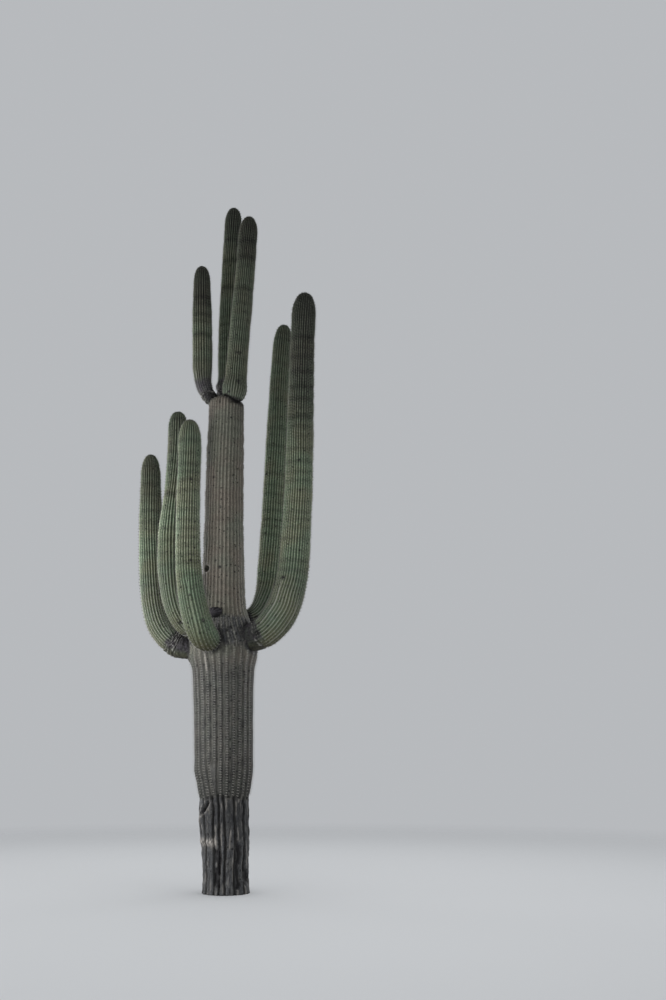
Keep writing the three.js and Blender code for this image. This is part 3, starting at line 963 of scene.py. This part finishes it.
# %% Skin of the trunk
TRUNK_PITCH = 0.025
TRUNK_WAIST_DEPTH = 0.045
UNDERCUT = 0.004
NOTCH_DEPTH = 0.012
COLLAR_SWELL = 0.012
CROWN_DENT = 0.044
SCAB_AZIMUTH = -68


def trunk_skin(seed):
    """The trunk's skin. It also notes where its areoles are, for the spines."""
    rng = np.random.default_rng(seed)
    rings, shrink = trunk_rings()
    spread, open_furrow = trunk_ribs(rng, rings)
    angles, valley, _ = rib_columns(spread, open_furrow, TRUNK_STEPS)
    angles = angles + (0.03 * np.sin(rings * 1.3) + 0.012 * np.sin(rings * 4.1))[:, None]
    bark = 1 - ramp(rings, SCAR_LINE - 0.012, SCAR_LINE)[:, None]
    angles = angles + bark * (0.008 * np.sin(rings * 17) + 0.006 * np.sin(rings * 41))[:, None]
    waist = growth_waists(rng, rings[:, None] + 0.012 * np.sin(angles + 2), (), 2.95, 4.95)

    # Each rib ends at the scar line in a lobe that hangs lower at its crest, over a notch that is painted
    # dark, which is painted shade.
    lobe = 0.012 * (valley - 0.5) + 0.014 * np.sin(3 * angles) + 0.008 * np.sin(7 * angles + 1)
    height = rings[:, None] + lobe * bell(rings - SCAR_LINE, 0.09)[:, None]
    notch = bell(rings - SCAR_LINE - 0.004, 0.014)[:, None] * ramp(valley, 0.25, 0.9)

    # Bark has broad flat ribs with narrow cracks between them, which widen and close as they rise.
    axis = trunk_axis(height)
    out = np.stack([np.cos(angles), np.sin(angles), np.zeros_like(angles)], axis=-1)
    shell = axis + out * trunk_radius(rings)[:, None, None]
    shell[..., 2] = height
    start = 0.45 + 0.25 * lumps(shell, (0.07, 0.07, 0.16), 5) + 0.25 * lumps(shell, (0.03, 0.03, 0.05), 6)
    half = np.tile(2 * np.minimum(TRUNK_STEPS, 1 - TRUNK_STEPS), TRUNK_RIBS)
    crack = share((half - start) / (1 - start)) * np.repeat(open_furrow, len(TRUNK_STEPS), axis=1)
    valley = valley * (1 - bark) + crack * bark

    radius = trunk_radius(rings) - UNDERCUT * np.exp(-np.clip(SCAR_LINE - rings, 0, None) / 0.03) * bark[:, 0]
    furrow = trunk_furrow(rings) * (0.45 + 0.15 * ramp(rings, 2.4, 2.9))
    reach = radius[:, None] * (1 - TRUNK_WAIST_DEPTH * waist) - furrow[:, None] * valley * (1 + 1.8 * bark)
    skin = axis + out * (reach * shrink[:, None] - NOTCH_DEPTH * notch)[..., None]
    skin[..., 2] = height

    facing = share(np.cos(angles - math.radians(SCAB_AZIMUTH)) * 2.2 - 0.25)
    scab = band(height, 2.35, 2.44, 2.68, 2.74) * facing
    allowed = (shrink[:, None] > 0.12) & (rings[:, None] > SCAR_LINE + 0.02)
    allowed = allowed & (np.roll(open_furrow, 1, axis=1) > 0.5) & (scab[:, :: len(TRUNK_STEPS)] < 0.4)
    felt, rooted, order, bearing = areole_spots(rng, TRUNK_STEPS, TRUNK_PITCH, 0.12, rings, allowed)
    collar, sheltered = round_the_necks(skin)
    # An arm's points are measured aside from the nearest crest. The trunk's are measured from the line of
    # the top front arm's neck, so felt and gaps show in one faint streak only, down the trunk's back.
    _, from_streak = beside_neck(skin, arm_line(ARMS["top_front_arm"])[0])
    pressed_in = pressed_crown(skin)
    scab_relief, pits, specks, drips = scab_marks(skin, scab, facing)
    inwards, dark, pale = gash_and_hole(skin, angles, height)
    pressed, hollow, fray, below = bark_marks(skin, out)
    spots, raised = scars_and_knobs("trunk", skin, out)
    bump = 0.0035 * felt + COLLAR_SWELL * collar - CROWN_DENT * pressed_in + scab_relief
    bump = bump - (inwards + pressed * bark) + raised
    rough = 0.007 * lumps(skin, 0.055, 21) + 0.008 * lumps(skin, (0.016, 0.016, 0.09), 33)
    bump = bump + np.maximum(bark, 0.7 * collar) * rough
    bump = bump + 0.003 * lumps(skin, 0.2, 41) + 0.0014 * lumps(skin, 0.03, 43)
    bump = bump + 0.005 * lumps(skin, (0.12, 0.12, 0.07), 45) * ramp(height, 2.8, 3.0)
    skin = skin + out * (bump * shrink[:, None])[..., None]
    skin[0, :, 2] = 0

    # Its dark marks are scars, hollows, cracks, pits and drips, and painted shade under and round the arms,
    # in the notches under the ribs' lobes, and in part where the crown's arms press in.
    patchy = 0.3 * lumps(skin, 0.06, 51)
    low = 1 - ramp(height, 2.1, 2.45)
    ragged_collar = collar * ramp(lumps(skin, 0.035, 57), -0.05, 0.25)
    shade = sheltered * share(0.8 + lumps(skin, (0.03, 0.03, 0.06), 59)) * (height < 3)
    cracks = bark * crack * (1.1 + 0.6 * lumps(skin, (0.04, 0.04, 0.12), 63))
    dark = np.maximum.reduce([
        dark, spots, hollow * bark, notch, 0.7 * scab * pits, 0.8 * ragged_collar, pressed_in, drips, shade,
        cracks,
    ])

    # Its pale marks are the gash's lip, frayed bark, specks on the scab, streaks and one scraped crest.
    scraped = bell(skin[..., 0] - SCRAPED_AT - SCRAPED_LEAN * height, 0.007) * (out[..., 1] < 0)
    scraped = 0.9 * scraped * band(height, 2.10, 2.18, 2.30, 2.36)
    streaks = 0.45 * bark * ramp(lumps(skin, (0.02, 0.02, 0.2), 97), 0.2, 0.5) * (1 - crack)
    blotches = low * facing * (1 - bark) * ramp(lumps(skin, (0.04, 0.04, 0.12), 67), 0.05, 0.4)
    near_foot = band(height, 0.4, 0.7, 0.95, 1.4)
    # The lower trunk is painted darker, in patches and blotches, and most on the side that faces left: that
    # side's darkening is painted shade.
    dull_and_shaded = low * (0.42 + 0.6 * patchy + 0.25 * share(-out[..., 0]) + 0.35 * blotches)
    cork = np.maximum.reduce([bark * np.ones_like(scab), 0.7 * low, 0.95 * scab, 0.85 * collar])
    marks = {
        "crest": 1 - valley,
        "comb": (0.3 + 0.7 * low) * (1 - bark) * (1 - scab),
        "order": order,
        "aside": from_streak * radius[:, None] + FAR_ASIDE * ~bearing,
        "cork": share(cork * (1 + patchy)),
        "aged": share(0.3 * ramp(height, 4.5, 5.3) + 0.3 * patchy),
        "waist": share(dull_and_shaded + 0.45 * near_foot + 0.45 * waist + 0.12 * bark),
        "under": share(bark * below * 0.8),
        "scar": share(dark),
        "pale": share(np.maximum.reduce([pale, fray * bark, 0.4 * specks, streaks, scraped])),
    }
    piece = closed_skin("trunk_skin", skin, trunk_axis(0), trunk_axis(SKIN_CROWN), marks)
    up = np.tile([0.0, 0.0, 1.0], (len(rings), 1))
    areoles[piece.name] = dict(
        rows=rooted, columns=skin.shape[1], along=up, places=rings, outside=0.6 - dark, tip=CROWN,
    )
    return piece


trunk_piece = trunk_skin(77)
print("trunk:", triangles(trunk_piece), "triangles")

# %% [markdown]
# ## Dead bud
# Over the front left arm, a bud started to grow into an arm and died. It is a dry purple-grey knob. It could
# be a ball, but it is blunt, droops a little and is pleated, so it is turned from rings like a small limb.

# %% Dead bud
BUD = dict(
    azimuth=254, height=2.736, radius=0.088, flat=0.62, length=0.076, sunk=0.045, droop=14, blunt=0.55,
    ribs=12,
)
BUD_ROWS = (8, 20)


def dead_bud():
    """A knob that starts inside the trunk, flatter than it is wide, with pleats that are painted darker
    below, which is painted shade.
    """
    out = level_way(BUD["azimuth"])
    root = trunk_axis(BUD["height"]) + out * trunk_radius(BUD["height"])
    droop = math.radians(BUD["droop"])
    way = out * math.cos(droop) - np.array([0, 0, math.sin(droop)])
    side = level_way(BUD["azimuth"] + 90)
    over = np.cross(way, side)
    sunk_rows, rows = BUD_ROWS
    rise = np.linspace(0, np.pi / 2, rows, endpoint=False)
    sunk = np.linspace(-BUD["sunk"], 0, sunk_rows, endpoint=False)
    places = np.concatenate([sunk, BUD["length"] * np.sin(rise)])
    radius = BUD["radius"] * np.concatenate([np.ones(sunk_rows), np.cos(rise) ** BUD["blunt"]])
    turn = np.linspace(0, 2 * np.pi, BUD["ribs"] * 6, endpoint=False)
    pleat = np.abs(np.sin(turn * BUD["ribs"] / 2)) ** 0.7
    ring = side * np.cos(turn)[:, None] + BUD["flat"] * over * np.sin(turn)[:, None]
    reach = radius[:, None] * (0.90 + 0.08 * pleat)
    skin = root + way * places[:, None, None] + ring * reach[..., None]
    skin = skin + ring * (0.004 * lumps(skin, 0.02, 5) + 0.003 * lumps(skin, 0.008, 8))[..., None]
    # Its pleats are painted darker on the underside: painted shade.
    crest = pleat * (0.25 + 0.75 * ramp(ring[:, 2] / BUD["flat"], -0.5, 0.3))
    marks = {"crest": np.broadcast_to(crest, reach.shape)}
    return closed_skin("dead_bud_knob", skin, root - way * BUD["sunk"], root + way * BUD["length"], marks)


bud_piece = dead_bud()
print("dead bud:", triangles(bud_piece), "triangles")

# %% [markdown]
# ## Finishes
# The skin of a saguaro is a thick waxy cuticle, grey-green where it is young and grey-brown where sun and
# age have corked it. It could be one green with noise over it, but its tones follow its growth, and some of
# them are painted shade and painted highlights. So marks on the mesh say where each tone belongs, and noise
# at real sizes breaks it up: broad patches of about 30 centimetres, mottling of about 14 millimetres, and a
# dusting of small dark pocks.


# %% Skin finishes
def tone_ramp(add, value, stops):
    """Colours by value: (place, hex code) for each stop."""
    tone = add("ShaderNodeValToRGB", links={"Fac": value})
    bar = tone.node.color_ramp
    while len(bar.elements) < len(stops):
        bar.elements.new(0.5)
    for element, (place, code) in zip(bar.elements, stops):
        element.position = place
        element.color = colour(code)
    return tone


def ribbed_skin(name, tones):
    """Waxy cuticle that the plant grew itself, with a dusty bloom: matt with a faint sheen and paler on the
    crests, and darker in the furrows, which is painted shade. Where it has corked it is dry and fibrous.
    """
    material, shader, add = new_material(name, {"Specular IOR Level": 0.3})
    place = add("ShaderNodeTexCoord", output="Object")
    mark = {
        key: add("ShaderNodeAttribute", {"attribute_name": key}, output="Fac")
        for key in ("crest", "comb", "order", "aside", "cork", "aged", "waist", "under", "scar", "pale")
    }
    # Patches of about 30 cm, mottling of about 14 mm, grain of 2 mm and upright fibres of 6 by 50 mm.
    patches, mottle, grain = [
        add("ShaderNodeTexNoise", {"Scale": 1 / size, "Detail": 3.0}, {"Vector": place})
        for size in (0.3, 0.014, 0.002)
    ]
    stretch = (1 / 0.006, 1 / 0.006, 1 / 0.05)
    stretched = add("ShaderNodeVectorMath", {"operation": "MULTIPLY", 1: stretch}, {0: place})
    fibres = add("ShaderNodeTexNoise", {"Scale": 1.0, "Detail": 3.0}, {"Vector": stretched})
    # Dark pocks of up to 2 cm, each of its own size, in cells of 4 cm.
    cells = add("ShaderNodeTexVoronoi", {"Scale": 1 / 0.04, "Randomness": 1.0}, {"Vector": place}).node
    distance = cells.outputs["Distance"]
    chance = add("ShaderNodeSeparateXYZ", links={0: cells.outputs["Color"]})
    pocks = add("ShaderNodeMath", {"operation": "MULTIPLY_ADD", 1: -0.26}, {0: chance, 2: distance})

    # Areoles: a pad of pale felt 11 mm wide at each, and beside the crest, between the fans of spines, gaps
    # in shade, 5 to 21 mm from the crest's middle.
    gap = add("ShaderNodeMath", {"operation": "PINGPONG", 1: 0.5}, {0: mark["order"]})
    along = add("ShaderNodeMath", {"operation": "MULTIPLY", 1: tones["pitch"]}, {0: gap})
    from_pad = add("ShaderNodeCombineXYZ", links={"X": along, "Y": mark["aside"]})
    from_pad = add("ShaderNodeVectorMath", {"operation": "LENGTH"}, {0: from_pad}, "Value")
    patched, on_pad, on_line, between_fans, off_crest, on_rib = [
        add("ShaderNodeMapRange", {"From Min": start, "From Max": end, "To Max": most}, {"Value": value})
        for value, start, end, most in (
            (patches, 0.40, 0.62, 1.0),
            (from_pad, 0.0075, 0.0035, tones["felt_share"]),
            (mark["aside"], 0.008, 0.002, tones["line_share"]),
            (gap, 0.10, 0.17, tones["gap_share"]),
            (mark["aside"], 0.004, 0.007, 1.0),
            (mark["aside"], 0.024, 0.018, 1.0),
        )
    ]
    felted = add("ShaderNodeMath", {"operation": "MAXIMUM"}, {0: on_pad, 1: on_line})
    felted = add("ShaderNodeMath", {"operation": "MULTIPLY"}, {0: mark["comb"], 1: felted})
    shaded = mark["comb"]
    for near in (between_fans, off_crest, on_rib):
        shaded = add("ShaderNodeMath", {"operation": "MULTIPLY"}, {0: shaded, 1: near})
    # Old tips, and painted shade high up on the arms.
    old_and_high = add("ShaderNodeMath", {"operation": "MULTIPLY", 1: 0.95}, {0: mark["aged"]})

    # One tone lies over another by its share.
    ribs, other_ribs, bark = [
        tone_ramp(add, mark["crest"], tones[key]) for key in ("ribs", "other_ribs", "cork")
    ]
    skin = add("ShaderNodeMix", {"data_type": "RGBA"}, {0: patched, 6: ribs, 7: other_ribs}, 2)
    for amount, tone in ((mark["under"], "under"), (old_and_high, "aged")):
        skin = add("ShaderNodeMix", {"data_type": "RGBA", 7: colour(tones[tone])}, {0: amount, 6: skin}, 2)
    skin = add("ShaderNodeMix", {"data_type": "RGBA"}, {0: mark["cork"], 6: skin, 7: bark}, 2)
    for amount, tone in ((shaded, "scar"), (felted, "felt")):
        skin = add("ShaderNodeMix", {"data_type": "RGBA", 7: colour(tones[tone])}, {0: amount, 6: skin}, 2)

    # Pocks, mottling and fibres make it lighter or darker. The waist mark darkens it with painted shade in
    # the waists and pleats, and low on the trunk with its dull tone and painted shade.
    fibrous = add("ShaderNodeMix", {"data_type": "FLOAT", 2: 0.5}, {0: mark["cork"], 3: fibres})
    for value, low, high, darkest, brightest in (
        (pocks, -0.02, 0.07, 0.2, 1.0),
        (mottle, 0.3, 0.7, 0.64, 1.36),
        (fibrous, 0.3, 0.7, 0.35, 1.65),
        (mark["waist"], 0.0, 1.0, 1.0, 0.42),
    ):
        limits = {"From Min": low, "From Max": high, "To Min": darkest, "To Max": brightest}
        factor = add("ShaderNodeMapRange", limits, {"Value": value})
        skin = add("ShaderNodeVectorMath", {"operation": "SCALE"}, {0: skin, "Scale": factor})
    # The pale mark includes painted highlights, and the dark mark painted shade.
    for tone in ("pale", "scar"):
        marked = {"data_type": "RGBA", 7: colour(tones[tone])}
        skin = add("ShaderNodeMix", marked, {0: mark[tone], 6: skin}, 2)

    matt = add("ShaderNodeMapRange", {"To Min": 0.62, "To Max": 0.86}, {"Value": mottle})
    coarse = add("ShaderNodeMath", {"operation": "MULTIPLY"}, {0: fibres, 1: mark["cork"]})
    fine = add("ShaderNodeMath", {"operation": "MULTIPLY_ADD", 1: 0.25}, {0: grain, 2: coarse})
    relief = add("ShaderNodeBump", {"Strength": 0.7, "Distance": 0.004}, {"Height": fine})
    feed(shader, {"Base Color": skin, "Roughness": matt, "Normal": relief})
    return material


# The arms' cuticle is young and waxy: green, with a dusty bloom that makes the crests pale.
GREEN_TONES = {
    "ribs": ((0.0, "#3b4737"), (0.45, "#4e5d4b"), (0.8, "#67795f"), (1.0, "#9eac95")),
    "other_ribs": ((0.0, "#404536"), (0.45, "#555c46"), (0.8, "#6f745b"), (1.0, "#9ea18d")),
    "cork": ((0.0, "#201d22"), (0.6, "#363338"), (1.0, "#4e4a50")),
    # Painted shade on the arms' undersides.
    "under": "#45442f",
    # Old tips, and painted shade on all that stands high.
    "aged": "#211f1c",
    "felt": "#b3afa3",
    "felt_share": 0.28,
    "line_share": 0.0,
    "gap_share": 0.22,
    "pitch": AREOLE_PITCH,
    # Scars, and painted shade in crevices, dents, furrows, under overhangs and between fans of spines.
    "scar": "#141312",
    "pale": "#8c8b86",
}
# The trunk's has weathered to cork, and below the scar line to bark: dry, grey and fibrous. Its felt and
# gaps show only in the streak down its back.
TRUNK_TONES = {
    "ribs": ((0.0, "#4f4a43"), (0.3, "#544e46"), (0.75, "#645e55"), (1.0, "#7f796f")),
    "other_ribs": ((0.0, "#4c4e45"), (0.3, "#4f5047"), (0.75, "#5f6156"), (1.0, "#7a7a6f")),
    "cork": ((0.0, "#6c6c67"), (0.3, "#40413f"), (0.7, "#303131"), (1.0, "#4a4b4d")),
    "under": "#4a443a",
    "aged": "#55524c",
    "felt": "#a9a69d",
    "felt_share": 1.0,
    "line_share": 0.7,
    "gap_share": 1.0,
    "pitch": TRUNK_PITCH,
    # Scars, cracks, hollows and pits, and painted shade under the arms, in notches and between fans of
    # spines.
    "scar": "#100f11",
    "pale": "#8f8a84",
}
green_skin = ribbed_skin("waxy_green_skin", GREEN_TONES)
for piece in arm_pieces.values():
    piece.data.materials.append(green_skin)
trunk_piece.data.materials.append(ribbed_skin("corky_grey_skin", TRUNK_TONES))
print("skin nodes:", len(green_skin.node_tree.nodes))


# %% Finishes of the bud and the spines
def dry_knob_finish():
    """Dead flesh that dried and shrank into pleats: matt purple-grey, and nearly black between them and
    below, which is painted shade.
    """
    material, shader, add = new_material("dry_bud_tissue", {"Roughness": 0.9})
    place = add("ShaderNodeTexCoord", output="Object")
    crest = add("ShaderNodeAttribute", {"attribute_name": "crest"}, output="Fac")
    # Wrinkles of about 9 mm.
    mottle = add("ShaderNodeTexNoise", {"Scale": 1 / 0.009, "Detail": 5.0}, {"Vector": place})
    mixed = add("ShaderNodeMath", {"operation": "MULTIPLY"}, {0: crest, 1: mottle})
    tone = tone_ramp(add, mixed, ((0.05, "#141215"), (0.35, "#2d2a30"), (0.7, "#535055")))
    relief = add("ShaderNodeBump", {"Strength": 0.8, "Distance": 0.004}, {"Height": mottle})
    feed(shader, {"Base Color": tone, "Normal": relief})
    return material


def spine_finish():
    """Old spine, grown hard and dry like horn: bleached grey low down, and darker on the younger growth."""
    material, shader, add = new_material("dry_spine_horn", {"Roughness": 0.6})
    place = add("ShaderNodeTexCoord", output="Object")
    # Spines 20 cm apart differ in tone.
    patches = add("ShaderNodeTexNoise", {"Scale": 1 / 0.2, "Detail": 2.0}, {"Vector": place})
    tone = tone_ramp(add, patches, ((0.35, "#86847e"), (0.65, "#acaaa3")))
    height = add("ShaderNodeSeparateXYZ", links={0: place}, output="Z")
    limits = {"From Min": 2.2, "From Max": 3.0, "To Min": 1.0, "To Max": 0.45}
    bleached = add("ShaderNodeMapRange", limits, {"Value": height})
    tone = add("ShaderNodeVectorMath", {"operation": "SCALE"}, {0: tone, "Scale": bleached})
    feed(shader, {"Base Color": tone})
    return material


bud_piece.data.materials.append(dry_knob_finish())
horn = spine_finish()
print("materials:", [material.name for material in bpy.data.materials])

# %% [markdown]
# ## Spines
# Every areole carries a cluster of stiff grey spines: short ones that lie against the skin and a few that
# point outwards and down. There are thousands of clusters, so they are made by Geometry Nodes: one cluster
# of thin three-sided cones is set on every areole, turned to face out of the skin, and then realized as
# plain geometry. Particles would do the same, but they wouldn't be part of the finished mesh. A cluster has
# fewer and thicker spines than a real one, so that they show from eleven metres away.

# %% Spine cluster nodes
GOLDEN_ANGLE = 2.39996
SPINE_DROOP = 0.12
ROOT_OFFSET = 0.0015
SPINE_INPUTS = {
    "Spines in a cluster": ("NodeSocketInt", 11),
    "Spine length": ("NodeSocketFloat", 0.026),
    "Spine thickness": ("NodeSocketFloat", 0.0013),
    "Seed": ("NodeSocketInt", 1),
    "Upright spread": ("NodeSocketFloat", 1.0),
}


def spine_tree(material):
    """Geometry Nodes that set a cluster of spines on every point of a mesh."""
    tree = bpy.data.node_groups.new("spine_clusters", "GeometryNodeTree")
    tree.interface.new_socket("Areoles", in_out="INPUT", socket_type="NodeSocketGeometry")
    tree.interface.new_socket("Spines", in_out="OUTPUT", socket_type="NodeSocketGeometry")
    for name, (kind, value) in SPINE_INPUTS.items():
        tree.interface.new_socket(name, in_out="INPUT", socket_type=kind).default_value = value
    add = partial(add_node, tree)
    points, count, length, thickness, seed, spread = list(add("NodeGroupInput").node.outputs)[:6]

    # One cluster: cones that lean further out the later they come round the golden angle.
    order = add("GeometryNodeInputIndex")
    part = add("ShaderNodeMath", {"operation": "DIVIDE"}, {0: order, 1: count})
    leans = {"To Min": math.radians(18), "To Max": math.radians(84)}
    lean = add("ShaderNodeMapRange", leans, {"Value": part})
    turn = add("ShaderNodeMath", {"operation": "MULTIPLY", 1: GOLDEN_ANGLE}, {0: order})
    (lean_sine, lean_cosine), (turn_sine, turn_cosine) = [
        [add("ShaderNodeMath", {"operation": ratio}, {0: angle}) for ratio in ("SINE", "COSINE")]
        for angle in (lean, turn)
    ]
    sideways, upwards = [
        add("ShaderNodeMath", {"operation": "MULTIPLY"}, {0: lean_sine, 1: level})
        for level in (turn_cosine, turn_sine)
    ]
    spread_up = add("ShaderNodeMath", {"operation": "MULTIPLY"}, {0: upwards, 1: spread})
    drooping = add("ShaderNodeMath", {"operation": "SUBTRACT", 1: SPINE_DROOP}, {0: spread_up})
    way = add("ShaderNodeCombineXYZ", links={"X": sideways, "Y": drooping, "Z": lean_cosine})
    start = add("ShaderNodeVectorMath", {"operation": "SCALE", "Scale": ROOT_OFFSET}, {0: way})
    starts = add("GeometryNodePoints", links={"Count": count, "Position": start})
    thin = add("ShaderNodeMath", {"operation": "MULTIPLY", 1: 0.5}, {0: thickness})
    shape = {"fill_type": "NONE", "Vertices": 3, "Radius Top": 0.0, "Depth": 1.0}
    cone = add("GeometryNodeMeshCone", shape, {"Radius Bottom": thin}, "Mesh")
    point_out = add("FunctionNodeAlignRotationToVector", {"axis": "Z"}, {"Vector": way})
    uneven = add("FunctionNodeRandomValue", {"data_type": "FLOAT", 2: 0.6, 3: 1.15}, {"Seed": seed}, 1)
    long = add("ShaderNodeMath", {"operation": "MULTIPLY"}, {0: uneven, 1: length})
    stretch = add("ShaderNodeCombineXYZ", {"X": 1.0, "Y": 1.0}, {"Z": long})
    links = {"Points": starts, "Instance": cone, "Rotation": point_out, "Scale": stretch}
    cluster = add("GeometryNodeRealizeInstances", links={0: add("GeometryNodeInstanceOnPoints", links=links)})

    # Every areole gets the cluster, facing out of the skin and turned a little at random.
    facing, up, size = [
        add("GeometryNodeInputNamedAttribute", {"data_type": kind, "Name": name})
        for name, kind in (("facing", "FLOAT_VECTOR"), ("up", "FLOAT_VECTOR"), ("size", "FLOAT"))
    ]
    faced = add("FunctionNodeAlignRotationToVector", {"axis": "Z"}, {"Vector": facing})
    about_normal = {"axis": "Y", "pivot_axis": "Z"}
    upright = add("FunctionNodeAlignRotationToVector", about_normal, {"Rotation": faced, "Vector": up})
    roll = add("FunctionNodeRandomValue", {"data_type": "FLOAT", 2: -0.7, 3: 0.7}, {"Seed": seed}, 1)
    roll = add("ShaderNodeMath", {"operation": "MULTIPLY"}, {0: roll, 1: spread})
    rolled = add("FunctionNodeAxisAngleToRotation", {"Axis": (0, 0, 1)}, {"Angle": roll})
    turned = add("FunctionNodeRotateRotation", {"rotation_space": "LOCAL"}, {0: upright, 1: rolled})
    links = {"Points": points, "Instance": cluster, "Rotation": turned, "Scale": size}
    real = add("GeometryNodeRealizeInstances", links={0: add("GeometryNodeInstanceOnPoints", links=links)})
    add("NodeGroupOutput", links={0: add("GeometryNodeSetMaterial", {"Material": material}, {0: real})})
    return tree


spine_nodes = spine_tree(horn)
print("spine tree:", len(spine_nodes.nodes), "nodes")

# %% Spines on every limb
SHOWS_ABOVE = 0.004
# The lower trunk's spines are the oldest and thickest, and spread to both sides in flat fans.
DENSE_BELOW = 2.3
DENSE_SPINES = {"Spines in a cluster": 14, "Spine thickness": 0.0019, "Upright spread": 0.08}


def spiny(name, skin_piece, size_at, first=0.0, last=math.inf, inputs=None):
    """The spines of one limb from one place along it to another, as one plain mesh.

    size_at gives their size by place along the limb, and inputs the values of the tree's inputs.
    """
    grown = areoles[skin_piece.name]
    rows, columns = grown["rows"].T
    places = grown["places"][rows]
    keep = (grown["outside"][rows, columns] > SHOWS_ABOVE) & (places >= first) & (places < last)
    rows, columns, places = rows[keep], columns[keep], places[keep]
    index = rows * grown["columns"] + columns
    vertices = skin_piece.data.vertices
    points, normals = np.zeros((2, len(vertices), 3))
    vertices.foreach_get("co", points.reshape(-1))
    skin_piece.data.vertex_normals.foreach_get("vector", normals.reshape(-1))
    seeds = bpy.data.meshes.new(name)
    seeds.from_pydata(points[index].tolist(), [], [])
    for mark, kind, field, values in (
        ("facing", "FLOAT_VECTOR", "vector", normals[index]),
        ("up", "FLOAT_VECTOR", "vector", grown["along"][rows]),
        ("size", "FLOAT", "value", size_at(places, grown["tip"])),
    ):
        layer = seeds.attributes.new(mark, kind, "POINT")
        layer.data.foreach_set(field, np.ascontiguousarray(values, dtype=np.float32).reshape(-1))
    piece = new_object(name, seeds)
    growth = piece.modifiers.new("growth", "NODES")
    growth.node_group = spine_nodes
    sockets = {s.name: s.identifier for s in spine_nodes.interface.items_tree if s.in_out == "INPUT"}
    for key, value in {"Seed": len(index), **(inputs or {})}.items():
        growth[sockets[key]] = value
    plain = bpy.data.meshes.new_from_object(piece.evaluated_get(bpy.context.evaluated_depsgraph_get()))
    piece.modifiers.clear()
    piece.data = plain
    plain.name = name
    return piece


def arm_spine_size(place, tip):
    return 0.68 - 0.1 * ramp(place, tip - 0.4, tip)


def trunk_spine_size(place, _tip):
    return 0.88 - 0.33 * ramp(place, 2.0, 2.7)


spine_pieces = [spiny(f"{name}_spines", piece, arm_spine_size) for name, piece in arm_pieces.items()]
spine_pieces += [
    spiny("trunk_foot_spines", trunk_piece, trunk_spine_size, last=DENSE_BELOW, inputs=DENSE_SPINES),
    spiny("trunk_spines", trunk_piece, trunk_spine_size, first=DENSE_BELOW),
]
print("spine triangles:", {piece.name: triangles(piece) for piece in spine_pieces})

# %% [markdown]
# ## What each piece stands for
# Every piece is part of the one rigid plant. Each skin takes the place of the solids that it grows round,
# and the spines are extra.

# %% Join the pieces to the plant
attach(trunk_piece, "root")
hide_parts("trunk")
for name, piece in arm_pieces.items():
    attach(piece, "root")
    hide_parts(*[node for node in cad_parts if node.startswith(name)])
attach(bud_piece, "root")
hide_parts("dead_bud")
for piece in spine_pieces:
    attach(piece, "root")
print("pieces:", 2 + len(arm_pieces) + len(spine_pieces))
